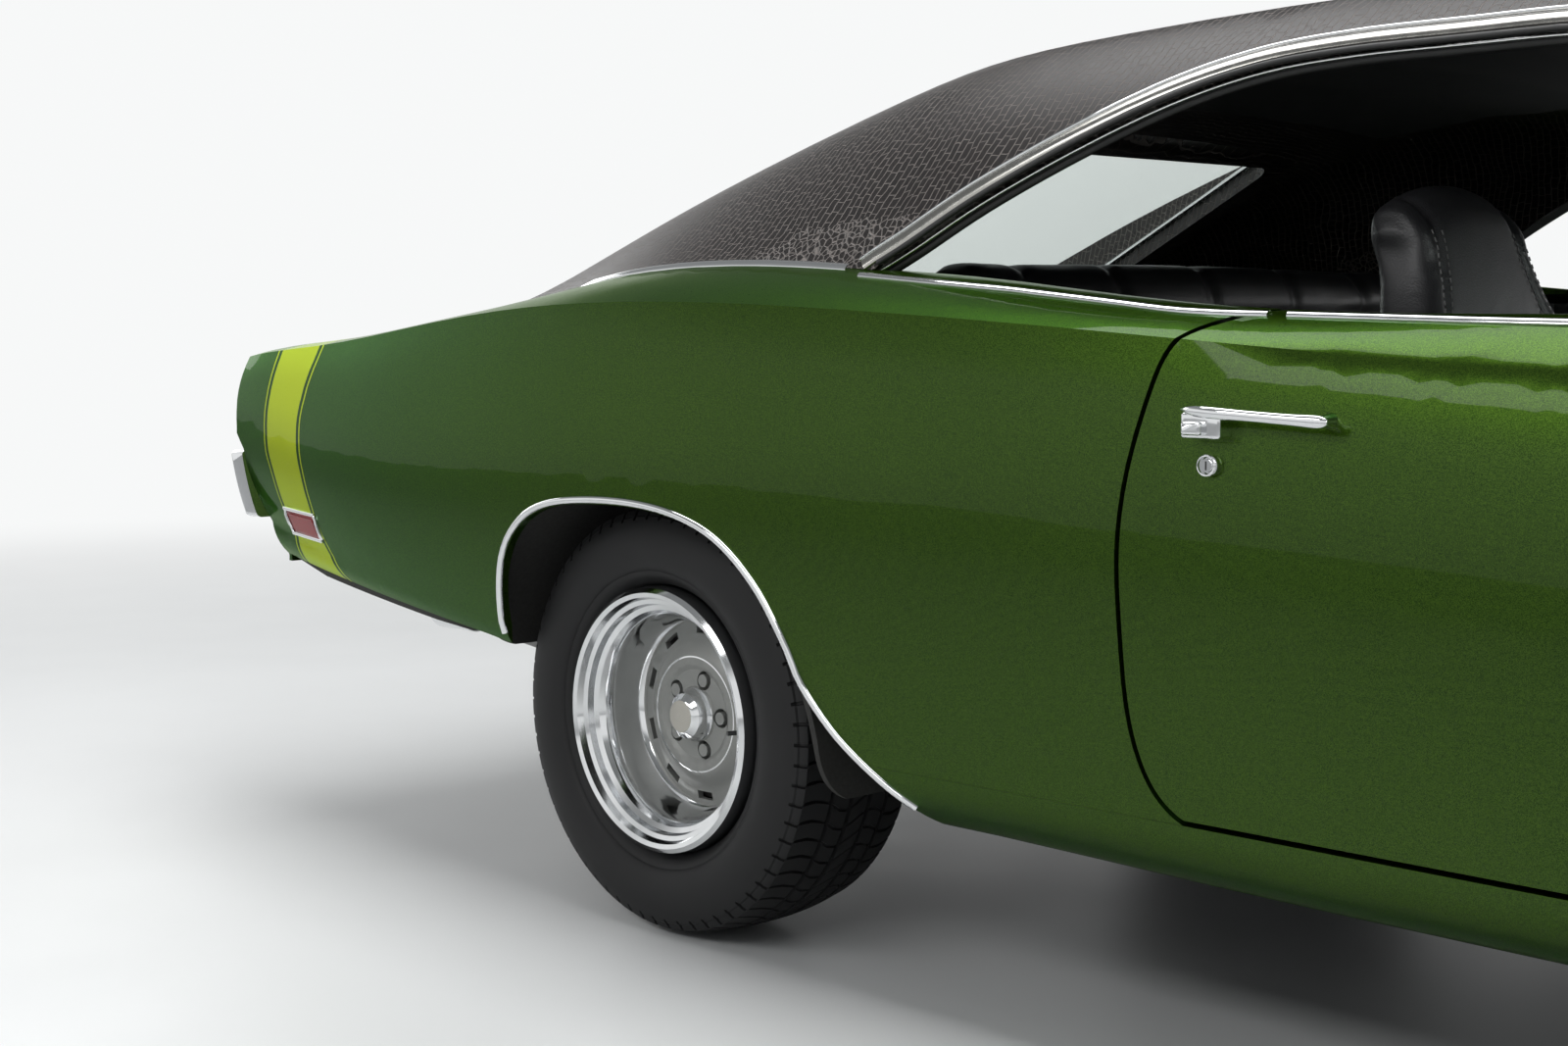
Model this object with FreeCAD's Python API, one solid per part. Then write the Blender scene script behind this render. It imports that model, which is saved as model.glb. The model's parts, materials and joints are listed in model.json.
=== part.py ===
import FreeCAD, Part
import math
import os

os.makedirs("parts", exist_ok=True)

# Two-door hardtop muscle car: buttressed roof, hidden headlamps, loop bumper.
# X points forward, Y to the left, Z up; the ground is z = 0 and the origin lies
# below the middle of the car's length. Outlines are written as shares: x as a
# share of the wheelbase counted from the rear axle, y of the body's half width,
# z of the height of the body side.

# Driving dimensions (mm)
WHEELBASE = 2972.0
REAR_AXLE_SETBACK = 1318.0
BODY_HALF_WIDTH = 973.0
BODY_HEIGHT = 1000.0
OVERRUN = 400.0
WHEEL_PLANE = 757.0
TYRE_RADIUS = 336.0
SKIN = 14.0
ROOF_WALL = 34.0
DOOR_WALL = 96.0
QUARTER_WALL = 118.0
SHUT_GAP = 7.0
EDGE_GAP = 12.0
DOOR_LEAD = 2.2
SEAM = 0.3
LID_DEPTH = 34.0
GLASS = 6.0
REAR_AXLE = -REAR_AXLE_SETBACK
FRONT_AXLE = WHEELBASE - REAR_AXLE_SETBACK
SIDES = {"left": 1, "right": -1}

V = FreeCAD.Vector
UP = V(0, 0, 1)
ALONG = V(1, 0, 0)
ACROSS = V(0, 1, 0)


def x_at(share):
    return WHEELBASE * share - REAR_AXLE_SETBACK


def y_at(share):
    return BODY_HALF_WIDTH * share


def z_at(share):
    return BODY_HEIGHT * share


def box(x0, x1, y0, y1, z0, z1):
    return Part.makeBox(x1 - x0, y1 - y0, z1 - z0, V(x0, y0, z0))


def share_box(x0, x1, y0, y1, z0, z1):
    return box(x_at(x0), x_at(x1), y_at(y0), y_at(y1), z_at(z0), z_at(z1))


def spline(points):
    curve = Part.BSplineCurve()
    curve.interpolate(points)
    return curve.toShape()


def wire_of(runs):
    """Closes a chain of point runs; a run of three or more points is a smooth curve."""
    edges = []
    first = runs[0][0]
    last = None
    for run in runs:
        if last is not None and last.distanceToPoint(run[0]) > 1e-6:
            edges.append(Part.makeLine(last, run[0]))
        if len(run) > 2:
            edges.append(spline(run))
        elif len(run) == 2:
            edges.append(Part.makeLine(run[0], run[1]))
        last = run[-1]
    if last.distanceToPoint(first) > 1e-6:
        edges.append(Part.makeLine(last, first))
    return Part.Wire(edges)


def straight(points):
    """Runs of two points each, for an outline with straight sides."""
    return [[a, b] for a, b in zip(points[:-1], points[1:])]


def side_face(runs):
    """Face in the XZ plane from runs of (x share, z share)."""
    return Part.Face(wire_of([[V(x_at(x), 0, z_at(z)) for x, z in run] for run in runs]))


def plan_face(runs):
    """Face in the XY plane from runs of (x share, y share)."""
    return Part.Face(wire_of([[V(x_at(x), y_at(y), 0) for x, y in run] for run in runs]))


def grown(face, margin):
    """Face whose outline lies a margin outside the given one."""
    return face.makeOffset2D(margin).toNurbs()


def through(face, y0, y1):
    """Prism of an XZ face between two places across the car."""
    return face.translated(V(0, y0, 0)).extrude(V(0, y1 - y0, 0))


def upright(face, z0, z1):
    """Prism of an XY face between two heights."""
    return face.translated(V(0, 0, z0)).extrude(V(0, 0, z1 - z0))


def lengthwise(points, x0, x1):
    """Prism along the car of a closed polygon of (y, z)."""
    corners = [V(x0, y, z) for y, z in points]
    return Part.Face(Part.makePolygon(corners + corners[:1])).extrude(V(x1 - x0, 0, 0))


def mirrored(shape):
    return shape.mirror(V(0, 0, 0), ACROSS)


def joined(shapes):
    return shapes[0].fuse(shapes[1:]).removeSplitter() if len(shapes) > 1 else shapes[0]


def save(name, shape):
    if len(shape.Solids) == 1:
        shape = shape.Solids[0]
    else:
        shape = Part.makeCompound(shape.Solids)
    shape.exportStep("parts/" + name + ".step")


def save_pair(name, left):
    save(name + "_left", left)
    save(name + "_right", mirrored(left))


# Body side: one row a station with x, crown z, then y and z of belt line,
# shoulder, mid crease, lower side and bottom edge.
BODY_STATION_SHARES = [
    (-0.458, 0.900, 0.709, 0.890, 0.826, 0.872, 0.853, 0.748, 0.815, 0.590, 0.785, 0.520),
    (-0.438, 0.912, 0.715, 0.900, 0.838, 0.882, 0.862, 0.748, 0.825, 0.580, 0.795, 0.510),
    (-0.330, 0.936, 0.724, 0.925, 0.876, 0.906, 0.912, 0.748, 0.884, 0.530, 0.842, 0.474),
    (-0.213, 0.965, 0.748, 0.960, 0.913, 0.938, 0.955, 0.745, 0.932, 0.492, 0.878, 0.438),
    (-0.095, 1.015, 0.793, 1.006, 0.938, 0.968, 0.983, 0.738, 0.957, 0.455, 0.898, 0.400),
    (0.000, 1.036, 0.819, 1.029, 0.946, 0.975, 0.993, 0.733, 0.963, 0.400, 0.900, 0.340),
    (0.107, 1.026, 0.824, 1.020, 0.944, 0.966, 0.990, 0.729, 0.960, 0.352, 0.898, 0.278),
    (0.225, 0.998, 0.836, 0.990, 0.939, 0.945, 0.980, 0.722, 0.954, 0.350, 0.892, 0.268),
    (0.329, 0.972, 0.857, 0.958, 0.935, 0.922, 0.974, 0.710, 0.950, 0.345, 0.888, 0.262),
    (0.477, 0.962, 0.863, 0.944, 0.932, 0.889, 0.971, 0.684, 0.948, 0.340, 0.886, 0.258),
    (0.645, 0.955, 0.861, 0.934, 0.932, 0.866, 0.971, 0.665, 0.948, 0.338, 0.886, 0.256),
    (0.780, 0.955, 0.839, 0.926, 0.933, 0.862, 0.975, 0.655, 0.950, 0.340, 0.888, 0.258),
    (0.891, 0.946, 0.794, 0.904, 0.932, 0.868, 0.986, 0.655, 0.958, 0.350, 0.892, 0.265),
    (1.000, 0.932, 0.767, 0.890, 0.929, 0.870, 0.995, 0.660, 0.964, 0.400, 0.898, 0.300),
    (1.116, 0.908, 0.756, 0.874, 0.918, 0.864, 0.987, 0.668, 0.956, 0.450, 0.892, 0.345),
    (1.217, 0.878, 0.743, 0.854, 0.898, 0.847, 0.963, 0.672, 0.932, 0.480, 0.870, 0.380),
    (1.318, 0.838, 0.721, 0.825, 0.865, 0.822, 0.925, 0.672, 0.893, 0.500, 0.835, 0.400),
    (1.345, 0.824, 0.711, 0.814, 0.852, 0.812, 0.912, 0.672, 0.880, 0.505, 0.822, 0.405),
]
CROWN_PLACE_SHARE = 0.5
CROWN_RISE_SHARE = 0.78
PANEL_BULGES = (4.0, 7.0, 11.0, 13.0)

# Roof and pillars: x, then z of the centre, y and z of ridge, drip line, waist and belt.
ROOF_STATION_SHARES = [
    (-0.275, 0.940, 0.617, 0.925, 0.673, 0.915, 0.720, 0.905, 0.745, 0.890),
    (-0.216, 1.000, 0.617, 0.985, 0.673, 0.974, 0.722, 0.962, 0.748, 0.945),
    (-0.162, 1.058, 0.617, 1.041, 0.673, 1.022, 0.733, 0.990, 0.765, 0.965),
    (-0.073, 1.152, 0.617, 1.134, 0.680, 1.106, 0.758, 1.050, 0.801, 1.013),
    (0.007, 1.228, 0.617, 1.207, 0.680, 1.172, 0.764, 1.090, 0.820, 1.029),
    (0.079, 1.290, 0.617, 1.265, 0.680, 1.222, 0.767, 1.110, 0.824, 1.022),
    (0.145, 1.332, 0.615, 1.309, 0.678, 1.262, 0.769, 1.130, 0.829, 1.008),
    (0.225, 1.350, 0.611, 1.331, 0.676, 1.279, 0.775, 1.130, 0.838, 0.990),
    (0.343, 1.356, 0.606, 1.343, 0.673, 1.286, 0.780, 1.120, 0.848, 0.957),
    (0.477, 1.353, 0.596, 1.339, 0.666, 1.281, 0.776, 1.115, 0.850, 0.944),
    (0.612, 1.333, 0.580, 1.316, 0.652, 1.256, 0.757, 1.090, 0.834, 0.930),
    (0.746, 1.296, 0.560, 1.274, 0.632, 1.216, 0.730, 1.060, 0.802, 0.915),
    (0.830, 1.266, 0.545, 1.240, 0.614, 1.186, 0.708, 1.040, 0.778, 0.905),
]
ROOF_FOOT = 850.0


def bulged(start, end, bulge, x, side):
    middle_y = (start[0] + end[0]) / 2
    middle_z = (start[1] + end[1]) / 2
    run_y = end[0] - start[0]
    run_z = end[1] - start[1]
    length = math.hypot(run_y, run_z)
    lift = bulge / length
    top = V(x, side * start[0], start[1])
    middle = V(x, side * (middle_y - run_z * lift), middle_z + run_y * lift)
    return spline([top, middle, V(x, side * end[0], end[1])])


def body_section(row, inset, drop, keel):
    """Closed cross section of the body, drawn in by inset and lowered by drop."""
    x = x_at(row[0])
    crown = z_at(row[1]) - drop
    rails = [[y_at(row[k]) - inset, z_at(row[k + 1])] for k in (2, 4, 6, 8, 10)]
    rails[0][1] -= drop
    rails[1][1] -= drop
    rails[4][1] += keel
    belt_y, belt_z = rails[0]
    shoulder_z = belt_z + CROWN_RISE_SHARE * (crown - belt_z)
    shoulder_y = belt_y * CROWN_PLACE_SHARE
    edges = [spline([V(x, belt_y, belt_z), V(x, shoulder_y, shoulder_z), V(x, 0, crown),
                     V(x, -shoulder_y, shoulder_z), V(x, -belt_y, belt_z)])]
    runs = list(zip(rails[:-1], rails[1:], PANEL_BULGES))
    edges += [bulged(a, b, bulge, x, -1) for a, b, bulge in runs]
    foot_y, foot_z = rails[-1]
    edges.append(Part.makeLine(V(x, -foot_y, foot_z), V(x, foot_y, foot_z)))
    edges += [bulged(a, b, bulge, x, 1) for a, b, bulge in reversed(runs)]
    return Part.Wire(Part.__sortEdges__(edges))


blocks = {}


def body_block(inset, drop, keel):
    """Solid body drawn in from the outer skin; each one is made once."""
    key = (inset, drop, keel)
    if key not in blocks:
        blocks[key] = body_loft(inset, drop, keel)
    return blocks[key]


def body_loft(inset, drop, keel):
    sections = [body_section(row, inset, drop, keel) for row in BODY_STATION_SHARES]
    return Part.makeLoft(sections, True)


def roof_section(row, inset):
    x = x_at(row[0])
    centre = z_at(row[1]) - inset
    rails = [(y_at(row[k]) - inset, z_at(row[k + 1])) for k in (2, 4, 6, 8)]
    ridge_y, ridge_z = rails[0]
    ridge_z -= inset
    drip_y, drip_z = rails[1]
    drip_z -= inset / 2
    half = [V(x, ridge_y, ridge_z), V(x, drip_y, drip_z), V(x, rails[2][0], rails[2][1]),
            V(x, rails[3][0], rails[3][1])]
    other = [V(p.x, -p.y, p.z) for p in reversed(half)]
    top = [V(x, -ridge_y, ridge_z), V(x, 0, centre), V(x, ridge_y, ridge_z)]
    foot = ROOF_FOOT
    edges = [spline(top), spline(half), Part.makeLine(half[-1], V(x, half[-1].y, foot)),
             Part.makeLine(V(x, half[-1].y, foot), V(x, -half[-1].y, foot)),
             Part.makeLine(V(x, -half[-1].y, foot), other[0]), spline(other)]
    return Part.Wire(Part.__sortEdges__(edges))


def roof_block(inset):
    return Part.makeLoft([roof_section(row, inset) for row in ROOF_STATION_SHARES], True)


# Outlines seen from the side
TAIL_PROFILE_SHARES = [[(-0.60, 1.20), (-0.424, 1.20)],
                       [(-0.424, 1.20), (-0.424, 0.920)],
                       [(-0.424, 0.920), (-0.436, 0.870), (-0.4415, 0.800)],
                       [(-0.4415, 0.800), (-0.4415, 0.735)],
                       [(-0.4415, 0.735), (-0.431, 0.705)],
                       [(-0.431, 0.705), (-0.4175, 0.600), (-0.392, 0.505)],
                       [(-0.392, 0.505), (-0.392, 0.150)],
                       [(-0.392, 0.150), (-0.60, 0.150)]]
DOOR_OUTLINE_SHARES = [[(0.369, 1.20), (0.369, 0.960)],
                       [(0.369, 0.960), (0.350, 0.938), (0.3375, 0.917), (0.3290, 0.858),
                        (0.3222, 0.764), (0.3190, 0.670), (0.3208, 0.564), (0.3262, 0.430),
                        (0.334, 0.380), (0.346, 0.351)],
                       [(0.346, 0.351), (0.773, 0.351)],
                       [(0.773, 0.351), (0.7800, 0.370), (0.7835, 0.560), (0.7845, 0.720), (0.7820, 0.860),
                        (0.778, 0.930)],
                       [(0.778, 0.930), (0.778, 1.20)]]
REAR_ARCH_SHARES = [[(-0.078, 0.240), (-0.103, 0.380)],
                    [(-0.103, 0.380), (-0.105, 0.470), (-0.095, 0.570), (-0.077, 0.628), (-0.054, 0.658),
                     (-0.020, 0.671), (0.020, 0.672), (0.054, 0.659), (0.082, 0.629), (0.106, 0.572),
                     (0.123, 0.500), (0.1325, 0.442), (0.152, 0.375), (0.176, 0.322), (0.208, 0.240)]]
FRONT_ARCH_RADIUS = 392.0
FRONT_ARCH_CENTRE = 322.0
NOSE_RADIUS = 3400.0
NOSE_REACH = 2590.0
SIDE_WINDOW_SHARES = [[(0.134, 0.86), (0.130, 1.005)],
                      [(0.130, 1.005), (0.139, 1.030), (0.150, 1.048), (0.184, 1.106), (0.231, 1.172),
                       (0.277, 1.226), (0.318, 1.256), (0.360, 1.266), (0.455, 1.266), (0.476, 1.254)],
                      [(0.476, 1.254), (0.560, 1.127), (0.672, 0.950)],
                      [(0.672, 0.950), (0.690, 0.86)]]
TUNNEL_SHARES = straight([(0.068, 1.500), (0.068, 1.262), (-0.1395, 0.978), (-0.30, 0.978), (-0.30, 1.500)])
TUNNEL_PLAN_SHARES = straight([(0.10, 0.468), (-0.14, 0.585), (-0.30, 0.600), (-0.30, -0.600),
                               (-0.14, -0.585), (0.10, -0.468)])
HOOD_SIDE_SHARES = [(0.7770, 0.798), (0.891, 0.775), (1.000, 0.752), (1.116, 0.738), (1.2335, 0.722)]
LID_SIDE_SHARES = [(-0.1635, 0.598), (-0.300, 0.650), (-0.408, 0.690)]
CABIN_PLAN_SHARES = [(-0.1395, 0.700), (0.000, 0.770), (0.225, 0.786), (0.329, 0.806), (0.645, 0.810),
                     (0.775, 0.795)]
WINDSHIELD_RADIUS = 4600.0
WINDSHIELD_HEAD = V(x_at(0.5205), 0, z_at(1.3185))
WINDSHIELD_FOOT = V(x_at(0.7565), 0, z_at(0.9450))


def mirrored_plan(shares):
    """Closed plan outline from one side's run of shares, mirrored to the other side."""
    left = list(shares)
    right = [(x, -y) for x, y in reversed(left)]
    return plan_face([left, [left[-1], right[0]], right])


def windshield_drum(inset):
    """Solid cylinder whose skin is the raked, curved plane of the windshield."""
    run = WINDSHIELD_FOOT - WINDSHIELD_HEAD
    length = run.Length
    direction = run / length
    inward = V(direction.z, 0, -direction.x)
    start = WINDSHIELD_HEAD - direction * length * 6 + inward * WINDSHIELD_RADIUS
    return Part.makeCylinder(WINDSHIELD_RADIUS - inset, length * 12, start, direction)


def nose_drum(reach):
    return Part.makeCylinder(NOSE_RADIUS, z_at(2.0), V(reach - NOSE_RADIUS, 0, 0), UP)


def wheel_arch(margin):
    """Opening in the side of the body over each axle, both sides at once."""
    rear = through(grown(side_face(REAR_ARCH_SHARES), margin) if margin else side_face(REAR_ARCH_SHARES),
                   -y_at(1.2), y_at(1.2))
    front = Part.makeCylinder(FRONT_ARCH_RADIUS + margin, y_at(2.4),
                              V(FRONT_AXLE, -y_at(1.2), FRONT_ARCH_CENTRE), ACROSS)
    return rear.fuse(front)


tail_cut = through(side_face(TAIL_PROFILE_SHARES), -y_at(1.2), y_at(1.2))
door_face = side_face(DOOR_OUTLINE_SHARES)
hood_face = mirrored_plan(HOOD_SIDE_SHARES)
lid_face = mirrored_plan(LID_SIDE_SHARES)
cabin_face = mirrored_plan(CABIN_PLAN_SHARES)

body = body_block(0, 0, 0).cut(tail_cut).common(nose_drum(NOSE_REACH))
hollow = body_block(SKIN, SKIN, -OVERRUN)
skin = body.cut(hollow).cut(wheel_arch(0))
cabin_drum = windshield_drum(ROOF_WALL)
cabin_hole = upright(cabin_face, z_at(0.80), z_at(1.3)).common(cabin_drum)
hood_hole = upright(grown(hood_face, SHUT_GAP), z_at(0.62), z_at(1.2))
hood_hole = hood_hole.fuse(share_box(0.7725, 0.80, -0.798, 0.798, 0.62, 1.2))
lid_hole = upright(grown(lid_face, SHUT_GAP), z_at(0.80), z_at(1.2))
door_hole = through(grown(door_face, SHUT_GAP), y_at(0.5), y_at(1.2))

ROCKER_TOP = z_at(0.351) - SHUT_GAP
ROCKER_SHARES = (0.166, 0.872)
rocker_x = [x_at(share) for share in ROCKER_SHARES]


def behind(x, shape):
    return shape.common(box(-WHEELBASE, x, -y_at(1.3), y_at(1.3), 0, z_at(1.6)))


def ahead(x, shape):
    return shape.common(box(x, WHEELBASE, -y_at(1.3), y_at(1.3), 0, z_at(1.6)))


def left_half(shape):
    return shape.common(box(-WHEELBASE, WHEELBASE, 0, y_at(1.3), 0, z_at(1.6)))


# Doors, hood and deck lid
PILLAR_SHARES = (0.640, 0.815, 0.822)
door_zone = through(door_face, y_at(0.5), y_at(1.2))
door_core_zone = through(grown(door_face, -EDGE_GAP), y_at(0.5), y_at(1.2))
door_skin = body.cut(body_block(SKIN + LID_DEPTH / 4, SKIN, -OVERRUN)).common(door_zone)
door_core = body.cut(body_block(DOOR_WALL, -OVERRUN, -OVERRUN)).common(door_core_zone)
pillar_room = share_box(PILLAR_SHARES[0], 0.90, 0.5, PILLAR_SHARES[2], 0.790, 1.3)
door_top_cut = upright(cabin_face, z_at(0.86), z_at(1.3))
door = joined([door_skin.cut(door_top_cut), door_core]).cut(pillar_room)
HINGE_X_SHARE = 0.7610
HINGE_Y_SHARE = 0.9480
HINGE_LEVEL_SHARES = (0.460, 0.635)
HINGE_HEIGHT = 40.0
HINGE_STRAP = 18.0
HINGE_PIN = 5.0
HINGE_EYE = 10.0
HINGE_RING = 26.0
PIN_STAND = 12.0
FIT = 0.4
hinge_x = x_at(HINGE_X_SHARE)
hinge_y = y_at(HINGE_Y_SHARE)
PILLAR_OUTER = 776.0
PILLAR_INNER = 690.0
hinge_straps = []
for share in HINGE_LEVEL_SHARES:
    low = z_at(share)
    high = low + HINGE_HEIGHT
    strap = box(hinge_x - HINGE_STRAP / 2, hinge_x + HINGE_STRAP / 2, PILLAR_OUTER, hinge_y, low, high)
    eye = Part.makeCylinder(HINGE_EYE, HINGE_HEIGHT, V(hinge_x, hinge_y, low))
    pin = Part.makeCylinder(HINGE_PIN, HINGE_HEIGHT + 2 * PIN_STAND, V(hinge_x, hinge_y, low - PIN_STAND))
    hinge_straps.append(joined([strap, eye, pin]))
    notch = box(hinge_x - HINGE_STRAP, hinge_x + OVERRUN, 0, hinge_y, low - FIT, high + FIT)
    bore = Part.makeCylinder(HINGE_PIN + FIT, HINGE_HEIGHT + 2 * PIN_STAND + 2 * FIT,
                             V(hinge_x, hinge_y, low - PIN_STAND - FIT))
    ring = Part.makeCylinder(HINGE_RING, HINGE_HEIGHT + 2 * FIT, V(hinge_x, hinge_y, low - FIT))
    ring = ring.common(box(-WHEELBASE, WHEELBASE, 0, hinge_y + HINGE_EYE + FIT, 0, BODY_HEIGHT))
    door = door.cut([notch, bore, ring])


def recess(start, end, flat, depth):
    """Tapered tool for a pressed recess: full depth at the start, running out at the end."""
    sections = []
    for place, share in ((start, 1), (end, 0)):
        lift = depth * share
        along, across = flat
        corners = [place + across, place + across * RECESS_FOOT + lift, place - across * RECESS_FOOT + lift,
                   place - across, place - across - depth, place + across - depth]
        sections.append(Part.makePolygon(corners + corners[:1]))
    return Part.makeLoft(sections, True, True)


RECESS_FOOT = 0.45
SCALLOP_DEPTH = 9.0
SCALLOP_HALF = 24.0
SCALLOP_SHARES = [(0.742, 0.640, 0.535), (0.742, 0.640, 0.735)]
for back, front, level in SCALLOP_SHARES:
    deep, out = (V(x_at(x), BODY_HALF_WIDTH, z_at(level)) for x in (back, front))
    foot = door_skin.distToShape(Part.Vertex(deep))[1][0][0]
    rise = door_skin.distToShape(Part.Vertex(out))[1][0][0]
    tool = recess(V(deep.x, foot.y, deep.z), V(out.x, rise.y + SEAM, out.z), (ALONG, UP * SCALLOP_HALF),
                  V(0, -SCALLOP_DEPTH, 0))
    door = door.cut(tool)
save_pair("door", door)

# Door handles: slim pull bar on a push-button housing, front foot and lock
HANDLE_REAR = -281.0
HANDLE_LENGTH = 199.0
HANDLE_LEVEL = 839.0
HANDLE_FALL = 10.0
HANDLE_STAND = 34.0
BAR_HALF_HEIGHT = 6.5
BAR_HALF_DEPTH = 4.5
# Bar sections: share of the length, of the stand, and of the bar's half height and depth
BAR_STATION_SHARES = [(0.00, 0.62, 0.22), (0.05, 0.74, 0.62), (0.16, 0.92, 1.00), (0.40, 1.00, 1.00),
                      (0.70, 1.00, 1.00), (0.90, 0.94, 1.12), (0.97, 0.84, 1.00), (1.00, 0.74, 0.40)]
FOOT_PLACE_SHARE = 0.93
FOOT_REACH_SHARE = 0.9
FOOT_RADIUS = 10.5
BUTTON_HOUSING = (-277.0, -222.0, 806.0, 836.0)
HOUSING_STAND = 25.0
HOUSING_CORNER = 4.0
BUTTON_PLACE = (-271.0, -243.0, 810.0, 826.0)
BUTTON_STAND = 33.0
LOCK_PLACE = (-246.0, 775.0)
LOCK_RADIUS = 12.5
LOCK_STAND = 4.5
LOCK_CORE = 8.0
FOOT_SINK = 8.0
outer_seat = body_block(-SEAM, -SEAM, 0)


def skin_y(x, z):
    """How far out the body side lies at a place seen from the side."""
    ray = Part.makeLine(V(x, 0, z), V(x, y_at(1.3), z))
    return ray.common(body).BoundBox.YMax


def oval(centre, half_y, half_z):
    curve = Part.Ellipse(centre + V(0, 0, half_z), centre + V(0, half_y, 0), centre)
    return Part.Wire(curve.toShape())


def stud(x0, x1, z0, z1, stand):
    """Block on the body side, rounded at its outer face."""
    skin_out = skin_y((x0 + x1) / 2, (z0 + z1) / 2)
    block = box(x0, x1, skin_out - FOOT_SINK, skin_out + stand, z0, z1)
    rim = [e for e in block.Edges if e.BoundBox.YMin > skin_out or e.BoundBox.YLength > stand]
    return block.makeFillet(HOUSING_CORNER, rim)


def handle_bar():
    sections = []
    for along, out, thick in BAR_STATION_SHARES:
        x = HANDLE_REAR + HANDLE_LENGTH * along
        z = HANDLE_LEVEL - HANDLE_FALL * along
        centre = V(x, skin_y(x, z) + HANDLE_STAND * out, z)
        sections.append(oval(centre, BAR_HALF_DEPTH * thick, BAR_HALF_HEIGHT * thick))
    return Part.makeLoft(sections, True)


def round_stud(x, z, radius, stand):
    skin_out = skin_y(x, z)
    return Part.makeCylinder(radius, FOOT_SINK + stand, V(x, skin_out - FOOT_SINK, z), ACROSS)


foot_x = HANDLE_REAR + HANDLE_LENGTH * FOOT_PLACE_SHARE
foot_z = HANDLE_LEVEL - HANDLE_FALL * FOOT_PLACE_SHARE
foot_y = skin_y(foot_x, foot_z)
foot = Part.makeCone(FOOT_RADIUS, BAR_HALF_DEPTH, FOOT_SINK + HANDLE_STAND * FOOT_REACH_SHARE,
                     V(foot_x, foot_y - FOOT_SINK, foot_z), ACROSS)
handle = joined([handle_bar(), foot, stud(*BUTTON_HOUSING, HOUSING_STAND), stud(*BUTTON_PLACE, BUTTON_STAND)])
lock = joined([round_stud(*LOCK_PLACE, LOCK_RADIUS, LOCK_STAND),
               round_stud(*LOCK_PLACE, LOCK_CORE, LOCK_STAND * 2)])
save_pair("door_handle", Part.makeCompound([handle.cut(outer_seat), lock.cut(outer_seat)]))

# Outside mirror on the driver's door
MIRROR_PLACE = (640.0, 880.0, 1010.0)
MIRROR_HALVES = (24.0, 62.0, 40.0)
MIRROR_EDGE = 20.0
STEM_FOOT_RADIUS = 15.4
STEM_HEAD_RADIUS = 8.8
MIRROR_BASE = 24.0
MIRROR_BASE_HEIGHT = 12.0
MIRROR_LEAN = 30.0
mirror_x, mirror_y, mirror_z = MIRROR_PLACE
half_x, half_y, half_z = MIRROR_HALVES
head = box(mirror_x - half_x, mirror_x + half_x, mirror_y - half_y, mirror_y + half_y, mirror_z - half_z,
           mirror_z + half_z)
head = head.makeFillet(MIRROR_EDGE, head.Edges)
stem_foot = V(mirror_x + MIRROR_LEAN, mirror_y - MIRROR_LEAN, z_at(0.90))
ray = Part.makeLine(stem_foot, stem_foot + UP * BODY_HEIGHT)
door_top = ray.common(body).BoundBox.ZMax
stem_way = V(*MIRROR_PLACE) - stem_foot
stem = Part.makeCone(STEM_FOOT_RADIUS, STEM_HEAD_RADIUS, stem_way.Length, stem_foot, stem_way)
base = Part.makeCylinder(MIRROR_BASE, door_top + MIRROR_BASE_HEIGHT - stem_foot.z, stem_foot)
save("mirror", joined([head, stem, base]).cut(outer_seat))

under_hood = body_block(LID_DEPTH, LID_DEPTH, -OVERRUN)
hood_skin = body.cut(hollow).common(upright(hood_face, z_at(0.62), z_at(1.2)))
hood_core = body.cut(under_hood).common(upright(grown(hood_face, -EDGE_GAP), z_at(0.62), z_at(1.2)))
LID_HINGE_LEAF = 8.0
HOOD_HINGE = V(x_at(0.8140), y_at(0.700), z_at(0.912))
LID_HINGE = V(x_at(-0.2005), y_at(0.560), z_at(0.948))
HINGE_ROOM = 62.0


def hinge_leaf(at, foot):
    """Upright leaf with an eye and pin on the hinge line of the hood or deck lid."""
    leaf = box(at.x - HINGE_EYE, at.x + HINGE_EYE, at.y, at.y + LID_HINGE_LEAF, foot, at.z)
    eye = Part.makeCylinder(HINGE_EYE, LID_HINGE_LEAF, at, ACROSS)
    pin = Part.makeCylinder(HINGE_PIN, LID_HINGE_LEAF + 2 * PIN_STAND, at - V(0, PIN_STAND, 0), ACROSS)
    return joined([leaf, eye, pin])


def hinge_room(at):
    slot = box(at.x - HINGE_ROOM, at.x + HINGE_ROOM, at.y - FIT, at.y + LID_HINGE_LEAF + FIT, 0,
               at.z + HINGE_EYE + FIT)
    bore = Part.makeCylinder(HINGE_PIN + FIT, LID_HINGE_LEAF + 2 * (PIN_STAND + FIT),
                             at - V(0, PIN_STAND + FIT, 0), ACROSS)
    return slot.fuse(bore)


def hinge_block(at):
    """Reinforcement under the panel that the pin runs in."""
    return box(at.x - HINGE_EYE * 2, at.x + HINGE_EYE * 2, at.y - PIN_STAND - LID_HINGE_LEAF,
               at.y + PIN_STAND + 2 * LID_HINGE_LEAF, at.z - HINGE_EYE - FIT, at.z + HINGE_EYE)


def hinged_panel(parts, at, clip):
    block = hinge_block(at).common(clip)
    room = hinge_room(at)
    return joined(parts + [block, mirrored(block)]).cut([room, mirrored(room)])


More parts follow.
